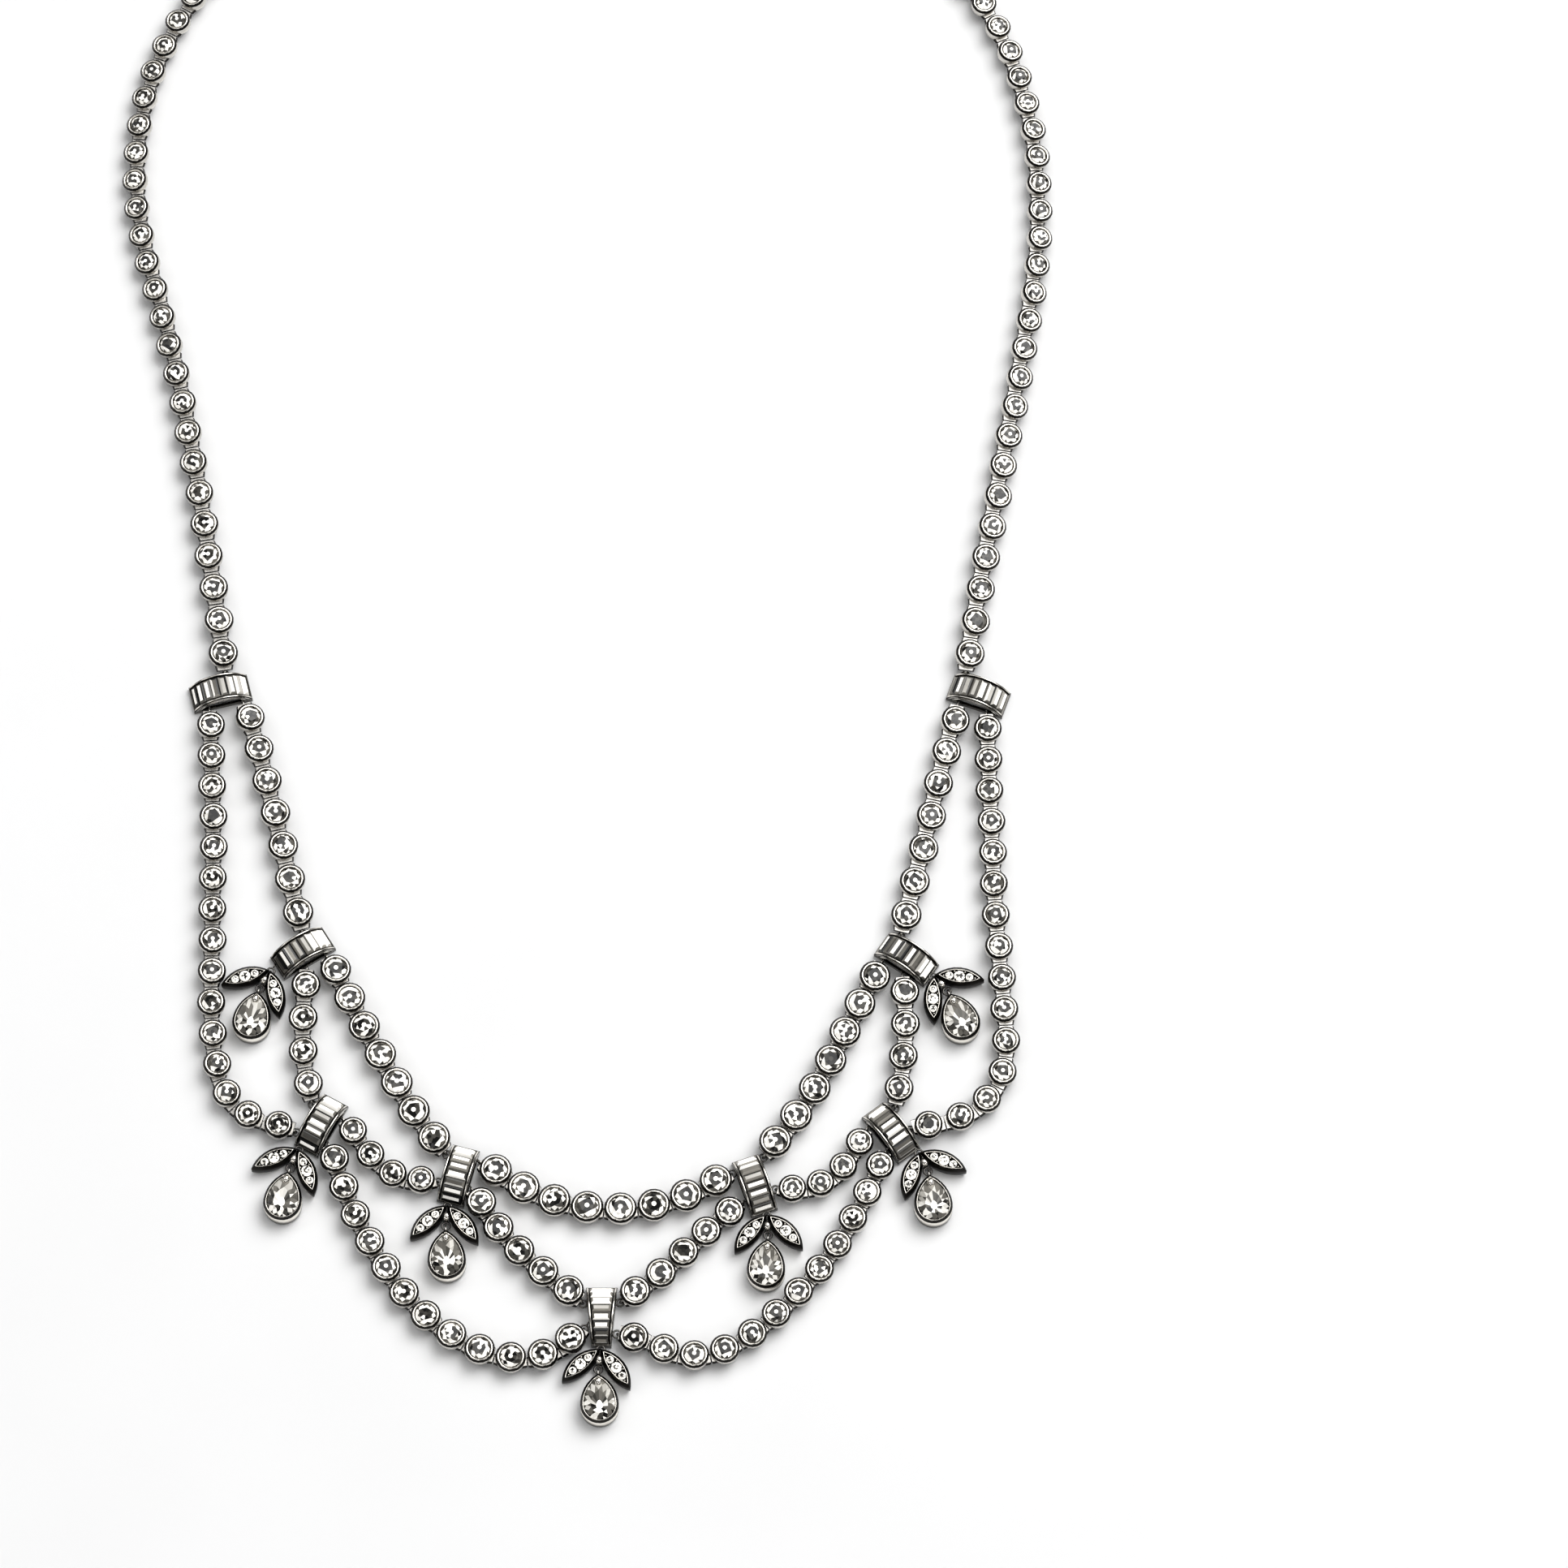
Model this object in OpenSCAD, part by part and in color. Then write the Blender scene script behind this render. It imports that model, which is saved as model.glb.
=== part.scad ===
// Bib necklace of round stones in drum collets, lying open on a flat surface.
// Nine arched bars of baguettes part and join its strands, and seven drops hang from the bars:
// each is a pair of small leaves with a pear-cut stone in its fork.
// X runs across the necklace, Y from the centre drop up to the clasp, and Z is up.

/* [Collets] */
// Height of a collet, from its foot to its rim
collet_h = 2.2; // [1.8:0.05:2.6]
// Height of the cone below the upright wall
cup_h = 1.2; // [0.9:0.05:1.5]
// How much narrower the foot is than the rim, on the radius
cup_draw = 0.95; // [0.6:0.05:1.1]
// Width of the rim between the wall and the seat
rim_w = 0.35; // [0.25:0.05:0.5]
// Bevel on the rim's outer edge
rim_bevel = 0.12; // [0.05:0.01:0.2]
// Depth of the seat below the rim
seat_depth = 0.35; // [0.2:0.05:0.5]
// How far a stone's table stands above the rim
table_rise = 0.2; // [0.1:0.05:0.4]

/* [Eyes] */
// Height of the eyes' centres above the surface
eye_z = 0.62; // [0.58:0.01:0.7]
// Radius of an eye, on its wire's centre line
eye_r = 0.45; // [0.4:0.01:0.5]
// Thickness of an eye's wire
eye_wire = 0.25; // [0.2:0.01:0.28]
// Thickness of the neck between an eye and its piece, thinner than the wire
neck_d = 0.2; // [0.15:0.01:0.25]

/* [Bars] */
// Length of a bar's frame
bar_l = 7; // [6:0.1:8]
// Half of the angle that the arch spans
arch_half = 68; // [50:1:70]
// Outer radius of the arch
arch_r = 3.8; // [3.5:0.05:4.2]
// Height of the arch's axis, below the surface
arch_z = -0.85; // [-2:0.05:0]
// Width of a rail
rail_w = 0.35; // [0.25:0.05:0.5]
// Height of the flat frame under the arch
frame_h = 0.65; // [0.4:0.05:0.8]
// Baguettes on a bar
baguettes = 8; // [5:1:10]
// Half of the angle that a bar's baguettes span
row_half = 60.5; // [45:0.5:65]

/* [Leaves] */
// Length of a leaf
leaf_l = 5.8; // [4.5:0.1:6.5]
// Bulge of a leaf's outer edge
leaf_out = 1.25; // [0.9:0.05:1.3]
// Bulge of a leaf's inner edge
leaf_in = 0.95; // [0.7:0.05:1]
// Height of a leaf
leaf_h = 2; // [1.6:0.1:2.4]
// Angle between a leaf and the pair's axis
leaf_spread = 42.5; // [35:0.5:50]
// Distance from the apex to the joint in the fork
fork_l = 2.4; // [2:0.1:3]

/* [Pears] */
// Radius of a pear's round end
pear_r = 2.2; // [1.8:0.05:2.6]
// Distance from the round end's centre to the tip
pear_tip = 3.7; // [3:0.1:4.5]
// Height of a pear's setting
pear_h = 2.3; // [2:0.05:2.6]
// Thickness of the setting's wall
pear_wall = 0.35; // [0.25:0.05:0.5]

/* [Clasp] */
// Length of the clasp
clasp_l = 12; // [8:0.5:16]
// Width of the clasp
clasp_w = 4.2; // [3:0.1:5]
// Height of the clasp
clasp_h = 2.2; // [1.8:0.1:2.6]

/* [Hidden] */
$fn = 96;
metal = "Gainsboro";
diamond = "AliceBlue";

// A cut stone's table against its girdle, its sides, and the gap round it in its seat
table_share = 0.56;
stone_sides = 8;
seat_gap = 0.1;
// How far one solid is sunk into the next where they are soldered
sink = 0.05;
// Where a neck starts, in eye radii from its joint
neck_start = 1.5;
// How far a cut runs past the surface that it opens
over = 1;
// Steps along a strand's curve, the turn of each stone against the last, and the small
// rocking that each collet adds to its strand's lean
curve_steps = 60;
stone_turn = 37;
lean_wobble = 3;
wobble_turn = 97;

// Radii of the arch, measured from its axis outwards
arch_in = arch_r - 0.8;
channel_r = arch_r - 0.5;
bed_r = arch_r - 0.44;
pavilion_r = arch_r - 0.38;
bed_top_r = arch_r - 0.3;
girdle_r = arch_r - 0.18;
bar_table_r = arch_r + 0.06;
row_gap = 0.08;
stone_space = 0.05;
baguette_bevel = 0.2;
bed_margin = 0.36;
frame_end = 0.8;
arch_reach = 6;
channel_over = 5; // degrees
arch_step = 2 * row_half / baguettes;

// Leaf: its rim, its sunk field, the hub between its eyes and the notch for the bar's eye
leaf_rim = 0.25;
leaf_tip_rim = 0.6;
field_z = leaf_h - 0.3;
notch_r = 0.72;
notch_h = 1.3;
hub_r = 0.5;
hub_at = 1.15;
hub_h = 1.6;

// Pin that joins the leaves' points over the bar's eye, and how far it stands past them
apex_r = 0.22;
apex_over = 0.05;

// Pear: its tip beyond the joint, its ledge, its recess and its stone's levels
pear_gap = 0.6;
pear_ledge = 0.65;
ledge_z = 1.75;
recess_z = 0.7;
pear_inset = pear_wall + row_gap;
pear_levels = [[1.05, 0.2], [1.98, 1], [2.1, 1], [2.8, 0.6]]; // height, share of the girdle
pear_arc_points = 4;
pear_round_points = 8;
tip_bead_r = 0.4;
tip_bead_x = 0.2;
tip_bead_z = 1.75;

// Clasp: its place, its edges' bevel, and how far its joints lie from its ends
clasp_at = [-1.2, 121];
clasp_bevel = 0.4;
clasp_reach = 0.6;
clasp_root = 1;

// From the photographed lay's own zero to the middle of the whole necklace
lay_shift = [2.1, -22.5, 0];

// Leaf stones: distance from the apex, how far outwards, radius
leaf_stones = [[1.7, 0.1, 0.52], [2.95, 0.15, 0.66], [4.15, 0.12, 0.5]];

// Bars: name, centre, angle, width at the near end, width at the far end
bars = [
    ["top_left", [-44.7, 11.1], 14, 3.2, 3.2],
    ["top_right", [44.3, 10.8], -20, 3.2, 3.2],
    ["upper_left", [-34.4, -21.1], 32, 3.2, 3.2],
    ["upper_right", [35.7, -21.9], -34, 3.2, 3.2],
    ["outer_left", [-31.9, -42.1], 61, 3.2, 3.2],
    ["outer_right", [33.8, -43], 127, 3.2, 3.2],
    ["inner_left", [-16, -48.2], 75, 3.2, 3.2],
    ["inner_right", [18.1, -49.4], 109, 3.2, 3.2],
    ["centre", [0.6, -65.1], 90, 2.3, 3.6]
];

// Drops: bar, apex of the leaves, direction of the pair, direction of the pear,
// both directions from straight down the chest and positive to the right
drops = [
    ["upper_left", [-38.2, -23.6], -30, -10],
    ["upper_right", [38.9, -24.2], 42, 20],
    ["outer_left", [-34.5, -45.3], -23, -9],
    ["outer_right", [37.1, -45.7], 25, 7],
    ["inner_left", [-17.2, -52.1], -4, 3],
    ["inner_right", [19.5, -53.2], 3, -3],
    ["centre", [0.5, -69.2], -6, 3]
];

// Neck strands: where each meets its back chain, and its way there
neck_left = [[-53.9, 64], [-49.3, 49], [-46.4, 28.5], [-44.2, 13.6]];
neck_right = [[51.2, 63.6], [49.1, 48], [44.8, 28], [42.8, 13.6]];
back_reach = 34;
back_level = 32;

// Strands: name, piece at the start, piece at the end, curve, collets, rim diameter at the
// start, at the end, lean at the start, at the end (degrees, to the left of the way along)
strands = [
    ["back_chain_left", "clasp", "", back_curve(-1, neck_left), 24, 2.75, 2.75, 0, -15],
    ["back_chain_right", "clasp", "", back_curve(1, neck_right), 24, 2.75, 2.75, 0, 17],
    ["neck_left", "", "top_left", neck_left, 13, 2.75, 3.2, -15, 6],
    ["neck_right", "", "top_right", neck_right, 13, 2.75, 3.2, 17, 11],
    ["outer_left", "top_left", "outer_left",
        [[-45.9, 8.6], [-45, -7], [-43.5, -21], [-48, -44.5], [-42.5, -40.5], [-34.9, -42.9]],
        15, 3, 3, 4, 2],
    ["outer_right", "top_right", "outer_right",
        [
            [45.2, 8.2], [46.3, -22.5], [45.3, -28.1], [49.7, -33.3],
            [50.5, -43.8], [37.6, -42.1], [36.2, -42.6]
        ],
        15, 3, 3, 0, 2],
    ["inner_upper_left", "top_left", "upper_left",
        [[-41.9, 9.5], [-39, 1.5], [-37.1, -9], [-34.5, -18.6]], 7, 3.1, 3.3, 8, 4],
    ["inner_upper_right", "top_right", "upper_right",
        [[41.8, 9.3], [39.6, 1], [37.6, -9], [35.1, -18.9]], 7, 3.1, 3.3, 10, 5],
    ["middle_upper_left", "upper_left", "outer_left",
        [[-33.9, -23.4], [-34.3, -29], [-34.6, -34], [-33, -39.4]], 4, 3.1, 3.1, 3, 0],
    ["middle_upper_right", "upper_right", "outer_right",
        [[35.2, -24.3], [35.8, -30], [35.6, -35], [34.3, -39.9]], 4, 3.1, 3.1, 3, 0],
    ["inner_lower_left", "upper_left", "inner_left",
        [[-31.5, -21.9], [-27, -30.5], [-22, -41], [-17.5, -45.5]], 7, 3.3, 3.5, 4, 0],
    ["inner_lower_right", "upper_right", "inner_right",
        [[32.7, -22.6], [28.5, -31], [24, -41.5], [19.2, -45.9]], 7, 3.3, 3.5, 4, 0],
    ["inner_centre", "inner_left", "inner_right",
        [[-13.3, -46.8], [-4.6, -54], [6.2, -54.6], [15.3, -48.1]], 8, 3.5, 3.5, 2, -2],
    ["middle_lower_left", "outer_left", "inner_left",
        [[-29.2, -41.7], [-26, -46.2], [-24, -50.5], [-18.5, -49]], 4, 3.05, 3.05, 0, 2],
    ["middle_lower_right", "outer_right", "inner_right",
        [[30.9, -42.9], [27.9, -49.6], [25.6, -51.1], [20.7, -49.9]], 4, 3, 3, 0, -2],
    ["middle_centre_left", "inner_left", "centre",
        [[-14.3, -50.2], [-12, -55.3], [-5.5, -61], [-1.7, -63.4]], 5, 3.2, 3.3, 2, 0],
    ["middle_centre_right", "inner_right", "centre",
        [[16.5, -51.6], [12, -55.2], [8, -60.8], [2.9, -63.3]], 5, 3.15, 3.25, 0, 0],
    ["lower_swag_left", "outer_left", "centre",
        [[-30.9, -44.8], [-27, -57], [-21, -70], [-7, -75], [-1.5, -66.7]], 12, 3.1, 3.3, 2, 0],
    ["lower_swag_right", "outer_right", "centre",
        [[33.1, -45.6], [29.4, -55.3], [24.7, -66.2], [7.1, -76.4], [12.7, -69.3], [2.6, -67.2]],
        12, 3, 3.15, 0, 0]
];

// Vectors on the surface: length one, the compass angle, and a direction down the chest
function unit(v) = v / norm(v);
function heading(v) = atan2(v[1], v[0]);
function down(a) = [sin(a), -cos(a)];

// The back of the necklace, from the clasp round to the neck strand's first joint
function back_curve(side, neck) =
    let (start = clasp_at + [side * (clasp_l / 2 + clasp_reach), 0])
    [
        start,
        start + [side * back_level, 0],
        neck[0] - back_reach * unit(neck[1] - neck[0]),
        neck[0]
    ];

// Point of a Bezier curve with any number of handles
function curve(p, t) =
    len(p) == 1 ? p[0] : curve([for (i = [0:len(p) - 2]) p[i] * (1 - t) + p[i + 1] * t], t);

// Length along a curve against its parameter
function lengths(p) = [
    for (
        i = 0, s = 0;
        i <= curve_steps;
        s = s + norm(curve(p, (i + 1) / curve_steps) - curve(p, i / curve_steps)), i = i + 1
    ) [s, i / curve_steps]
];

// Share of a strand's length taken by its first k of n links, which grow from size a to size b
function grown(k, n, a, b) = k / n * (2 * a + (b - a) * k / n) / (a + b);

// Joints between the links of a strand
function joints(s) =
    let (p = s[3], n = s[4], table = lengths(p), total = table[curve_steps][0])
    [for (k = [0:n]) curve(p, lookup(total * grown(k, n, s[5], s[6]), table))];

// Direction of the strand at joint k
function tangent(s, j, k) =
    let (p = s[3], n = s[4], last = len(p) - 1)
    k == 0 ? unit(p[1] - p[0]) : k == n ? unit(p[last] - p[last - 1]) : unit(j[k + 1] - j[k - 1]);

// Rim diameter and lean of link k
function link_size(s, k) = s[5] + (s[6] - s[5]) * (k - 0.5) / s[4];
function link_lean(s, k) =
    s[7] + (s[8] - s[7]) * (k - 0.5) / s[4] + lean_wobble * sin(wobble_turn * k);

// Bars: half width at x along one, and the way from a point into its frame
function half_width(b, x) = (b[3] + (b[4] - b[3]) * (x / bar_l + 0.5)) / 2;
function turned(v, a) = [v[0] * cos(a) - v[1] * sin(a), v[0] * sin(a) + v[1] * cos(a)];
function entry(b, point, way) =
    let (
        q = turned(point - b[1], -b[2]),
        v = turned(way, -b[2]),
        half = [bar_l / 2, half_width(b, max(-bar_l / 2, min(bar_l / 2, q[0])))]
    )
    max([for (i = [0:1]) abs(q[i]) > half[i] ? (abs(q[i]) - half[i]) / abs(v[i]) : 0]);

// Cut stone seen from the table: a girdle polygon and a smaller table above it
module crown(r, h) {
    n = stone_sides;
    color(diamond)
        polyhedron(
            points = [
                for (level = [[r, 0], [r * table_share, h]])
                    for (i = [0:n - 1])
                        [level[0] * cos(360 * i / n), level[0] * sin(360 * i / n), level[1]]
            ],
            faces = concat(
                [[for (i = [0:n - 1]) i], [for (i = [0:n - 1]) 2 * n - 1 - i]],
                [for (i = [0:n - 1]) [i, i + n, (i + 1) % n + n, (i + 1) % n]]
            )
        );
}

// Ring of wire in the plane z = 0
module ring() {
    color(metal)
        rotate([0, 0, 90])
            rotate_extrude()
                translate([eye_r, 0])
                    circle(d = eye_wire, $fn = 6);
}

// Eye whose wire's near side is at a joint: lying flat, or upright across the strand's way
module eye(joint, way, upright) {
    centre = joint + way * eye_r / 2;
    translate([centre[0], centre[1], eye_z])
        rotate([0, 0, heading(way)])
            rotate([upright ? 90 : 0, 0, 0])
                ring();
}

// Straight neck from one point of the surface to another, at the eyes' height
module neck(a, b) {
    color(metal)
        translate([a[0], a[1], eye_z])
            rotate([0, 90, heading(b - a)])
                cylinder(d = neck_d, h = norm(b - a));
}

// Eye on its neck, which ends at a root inside the piece that holds it
module held_eye(joint, way, upright, root) {
    eye(joint, way, upright);
    neck(joint + way * neck_start * eye_r, root);
}

// Round collet with its stone
module collet(d, turn) {
    r = d / 2;
    seat_r = r - rim_w;
    seat_z = collet_h - seat_depth;
    color(metal)
        rotate_extrude()
            polygon([
                [0, 0],
                [r - cup_draw, 0],
                [r, cup_h],
                [r, collet_h - rim_bevel],
                [r - rim_bevel, collet_h],
                [seat_r, collet_h],
                [seat_r, seat_z],
                [0, seat_z]
            ]);
    translate([0, 0, seat_z - sink])
        rotate([0, 0, turn])
            crown(seat_r - seat_gap, seat_depth + sink + table_rise);
}

// Collet leaning about its line of eyes, raised until its foot is back on the surface
module leaning_collet(d, lean, turn) {
    foot_r = d / 2 - cup_draw;
    rise = eye_z * cos(lean) + foot_r * abs(sin(lean));
    translate([0, 0, rise])
        rotate([-lean, 0, 0])
            translate([0, 0, -eye_z])
                collet(d, turn);
}

// One link: a collet between a lying eye at its start and an upright eye at its end
module link(start, start_way, end, end_way, d, lean, turn) {
    middle = (start + end) / 2;
    held_eye(start, start_way, false, middle);
    held_eye(end, -end_way, true, middle);
    translate([middle[0], middle[1], 0])
        rotate([0, 0, heading(end - start)])
            leaning_collet(d, lean, turn);
}

// Strand of linked collets
module strand(s) {
    j = joints(s);
    for (k = [1:s[4]])
        link(
            j[k - 1], tangent(s, j, k - 1), j[k], tangent(s, j, k),
            link_size(s, k), link_lean(s, k), stone_turn * k
        );
}

// Outline of a bar, drawn in by a margin at its sides and by another at its ends
module bar_outline(b, side_in, end_in) {
    x = bar_l / 2 - end_in;
    near = half_width(b, -x) - side_in;
    far = half_width(b, x) - side_in;
    polygon([[-x, -near], [x, -far], [x, far], [-x, near]]);
}

// Part of a round arch between two radii, with its axis across the bar
module arch(r_in, r_out, half_angle) {
    translate([0, 0, arch_z])
        rotate([90, 0, 0])
            rotate([0, 0, 90 - half_angle])
                rotate_extrude(angle = 2 * half_angle)
                    translate([r_in, -arch_reach / 2])
                        square([r_out - r_in, arch_reach]);
}

// Strip of an arch as wide as the bar, less a margin at each side
module arch_strip(b, r_in, r_out, half_angle, side_in) {
    intersection() {
        arch(r_in, r_out, half_angle);
        linear_extrude(arch_r)
            bar_outline(b, side_in, 0);
    }
}

// Where a bar stands
module at_bar(b) {
    translate([b[1][0], b[1][1], 0])
        rotate([0, 0, b[2]])
            children();
}

// Eye that a bar holds at a joint, with its neck ending in the middle of the rail
module bar_eye(b, joint, away, upright) {
    held_eye(joint, -away, upright, joint - away * (entry(b, joint, -away) + rail_w / 2));
}

// All eyes of a bar: upright where a strand starts, lying where one ends or a drop hangs
module bar_eyes(b) {
    for (s = strands) {
        p = s[3];
        last = len(p) - 1;
        if (s[1] == b[0])
            bar_eye(b, p[0], unit(p[1] - p[0]), true);
        if (s[2] == b[0])
            bar_eye(b, p[last], unit(p[last - 1] - p[last]), false);
    }
    for (d = drops)
        if (d[0] == b[0])
            bar_eye(b, d[1], down(d[2]), false);
}

// Arched bar: two rails with a channel between them, on a flat frame
module bar(b) {
    color(metal)
        at_bar(b) {
            difference() {
                arch_strip(b, arch_in, arch_r, arch_half, 0);
                arch_strip(b, channel_r, arch_r + over, arch_half + channel_over, rail_w);
            }
            difference() {
                linear_extrude(frame_h)
                    bar_outline(b, 0, 0);
                translate([0, 0, -over])
                    linear_extrude(frame_h + 2 * over)
                        bar_outline(b, rail_w, frame_end);
            }
        }
    bar_eyes(b);
}

// Baguette: step cut, its long sides following the bar's taper, the girdle at z = 0
module baguette(w, half, slope, below, above) {
    levels = [[-below, baguette_bevel], [0, 0], [above, baguette_bevel]];
    corners = [[-1, -1], [1, -1], [1, 1], [-1, 1]];
    color(diamond)
        polyhedron(
            points = [
                for (level = levels)
                    for (c = corners)
                        let (x = c[0] * (w / 2 - level[1]))
                        [x, c[1] * (half + slope * x - level[1]), level[0]]
            ],
            faces = concat(
                [[0, 1, 2, 3], [11, 10, 9, 8]],
                [for (k = [0, 4]) for (i = [0:3]) [i, i + 4, (i + 1) % 4 + 4, (i + 1) % 4] + k * [1, 1, 1, 1]]
            )
        );
}

// Row of baguettes over the arch, on the narrow bed that they share
module baguette_row(b) {
    w = girdle_r * arch_step * PI / 180 - stone_space;
    slope = (b[4] - b[3]) / bar_l / 2;
    at_bar(b) {
        for (i = [0:baguettes - 1]) {
            a = arch_step * (i + 0.5) - row_half;
            half = half_width(b, girdle_r * sin(a)) - rail_w - row_gap;
            translate([0, 0, arch_z])
                rotate([0, a, 0])
                    translate([0, 0, girdle_r])
                        baguette(w, half, slope * cos(a), girdle_r - pavilion_r, bar_table_r - girdle_r);
        }
        color(diamond)
            arch_strip(b, bed_r, bed_top_r, row_half, rail_w + bed_margin);
    }
}

// Radius of the arc on a chord that rises to a bulge
function arc_radius(chord, bulge) = (chord * chord / 4 + bulge * bulge) / (2 * bulge);

// Pointed oval from x = 0 to x = l, between an arc that bulges towards +y and one towards -y
module oval(l, up, low) {
    intersection() {
        translate([l / 2, up - arc_radius(l, up)])
            circle(arc_radius(l, up));
        translate([l / 2, arc_radius(l, low) - low])
            circle(arc_radius(l, low));
    }
}

// Stones of one leaf, standing in its field
module leaf_stones() {
    for (s = leaf_stones)
        translate([s[0], s[1], field_z - sink])
            rotate([0, 0, stone_turn * s[0]])
                crown(s[2], leaf_h - field_z + sink);
}

// Where a leaf stands in its pair, its outer edge towards +y
module at_leaf(side) {
    rotate([0, 0, side * leaf_spread])
        mirror([0, side < 0 ? 1 : 0, 0])
            children();
}

// Where a drop's leaves or pear stands, with x running away from the bar
module at_drop(point, angle) {
    translate([point[0], point[1], 0])
        rotate([0, 0, heading(down(angle))])
            children();
}

// Pair of leaves joined at the apex, with an eye under the apex and one in the fork
module leaf_pair(d) {
    at_drop(d[1], d[2]) {
        color(metal)
            difference() {
                for (side = [-1, 1])
                    at_leaf(side)
                        linear_extrude(leaf_h)
                            oval(leaf_l, leaf_out, leaf_in);
                for (side = [-1, 1])
                    at_leaf(side)
                        translate([leaf_tip_rim, 0, field_z])
                            linear_extrude(over)
                                oval(leaf_l - 2 * leaf_tip_rim, leaf_out - leaf_rim, leaf_in - leaf_rim);
                translate([0, 0, -over])
                    cylinder(r = notch_r, h = notch_h + over);
            }
        color(metal)
            translate([hub_at, 0, 0])
                cylinder(r = hub_r, h = hub_h);
        color(metal)
            translate([0, 0, notch_h - apex_over])
                cylinder(r = apex_r, h = leaf_h - notch_h + 2 * apex_over);
        for (side = [-1, 1])
            at_leaf(side)
                leaf_stones();
        eye([0, 0], [1, 0], true);
        eye([fork_l, 0], [-1, 0], false);
    }
}

// Outline of a pear round its round end's centre, tip towards -x, drawn in by a margin
module pear_outline(inset) {
    arc_r = arc_radius(2 * pear_tip, pear_r);
    intersection() {
        circle(pear_r - inset);
        translate([0, -pear_r])
            square([2 * pear_r, 2 * pear_r]);
    }
    intersection() {
        translate([0, arc_r - pear_r])
            circle(arc_r - inset);
        translate([0, pear_r - arc_r])
            circle(arc_r - inset);
        translate([-2 * pear_tip, -pear_r])
            square([2 * pear_tip, 2 * pear_r]);
    }
}

// Points of that outline for the stone, counted from the tip round the -y side
function pear_points(inset) =
    let (
        arc_r = arc_radius(2 * pear_tip, pear_r),
        r = arc_r - inset,
        tip = sqrt(r * r - (arc_r - pear_r) * (arc_r - pear_r)),
        side = [
            for (i = [0:pear_arc_points - 1])
                let (x = tip * (1 - i / pear_arc_points))
                [-x, sqrt(r * r - x * x) - (arc_r - pear_r)]
        ],
        round_r = pear_r - inset,
        step = 180 / pear_round_points
    )
    concat(
        [for (q = side) [q[0], -q[1]]],
        [for (i = [0:pear_round_points]) [round_r * sin(step * i), -round_r * cos(step * i)]],
        [for (i = [pear_arc_points - 1:-1:1]) side[i]]
    );

// Setting of a pear: a wall, a ledge inside it and a recess below the stone
module pear_setting(d) {
    joint = d[1] + fork_l * down(d[2]);
    at_drop(joint, d[3]) {
        color(metal)
            translate([pear_gap + pear_tip, 0, 0])
                difference() {
                    linear_extrude(pear_h)
                        pear_outline(0);
                    translate([0, 0, ledge_z])
                        linear_extrude(pear_h)
                            pear_outline(pear_wall);
                    translate([0, 0, recess_z])
                        linear_extrude(pear_h)
                            pear_outline(pear_ledge);
                }
        color(metal)
            translate([pear_gap + tip_bead_x, 0, tip_bead_z])
                sphere(r = tip_bead_r);
        eye([0, 0], [1, 0], true);
    }
}

// Pear-cut stone
module pear_stone(d) {
    joint = d[1] + fork_l * down(d[2]);
    outline = pear_points(pear_inset);
    n = len(outline);
    top = (len(pear_levels) - 1) * n;
    color(diamond)
        at_drop(joint, d[3])
            translate([pear_gap + pear_tip, 0, 0])
                polyhedron(
                    points = [
                        for (level = pear_levels)
                            for (q = outline)
                                [level[1] * q[0], level[1] * q[1], level[0]]
                    ],
                    faces = concat(
                        [[for (i = [0:n - 1]) i], [for (i = [0:n - 1]) top + n - 1 - i]],
                        [
                            for (k = [0:n:top - n])
                                for (i = [0:n - 1])
                                    [k + i, k + i + n, k + (i + 1) % n + n, k + (i + 1) % n]
                        ]
                    )
                );
}

// Plain box clasp with bevelled upper edges and an eye at each end
module clasp() {
    color(metal)
        translate([clasp_at[0], clasp_at[1], 0])
            rotate([90, 0, 90])
                translate([0, 0, -clasp_l / 2])
                    linear_extrude(clasp_l)
                        polygon([
                            [-clasp_w / 2, 0],
                            [clasp_w / 2, 0],
                            [clasp_w / 2, clasp_h - clasp_bevel],
                            [clasp_w / 2 - clasp_bevel, clasp_h],
                            [clasp_bevel - clasp_w / 2, clasp_h],
                            [-clasp_w / 2, clasp_h - clasp_bevel]
                        ]);
    for (s = strands)
        if (s[1] == "clasp") {
            way = unit(s[3][0] - s[3][1]);
            held_eye(s[3][0], way, true, s[3][0] + way * (clasp_reach + clasp_root));
        }
}

for (s = strands)
    translate(lay_shift)
            strand(s);
for (b = bars)
    translate(lay_shift)
            bar(b);
for (b = bars)
    translate(lay_shift)
            baguette_row(b);
for (d = drops)
    translate(lay_shift)
            leaf_pair(d);
for (d = drops)
    translate(lay_shift)
            pear_setting(d);
for (d = drops)
    translate(lay_shift)
            pear_stone(d);
translate(lay_shift)
        clasp();
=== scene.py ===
"""Looks of the diamond bib necklace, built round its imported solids.

Every sub-part of the necklace is worked out again here from the same named sizes and tables as
its solids, in millimetres, and put into the row frame in metres: strands of round collets with
brilliant-cut stones, arched bars of baguettes, leaf pairs with pear drops, and the clasp.
"""
import math

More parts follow.
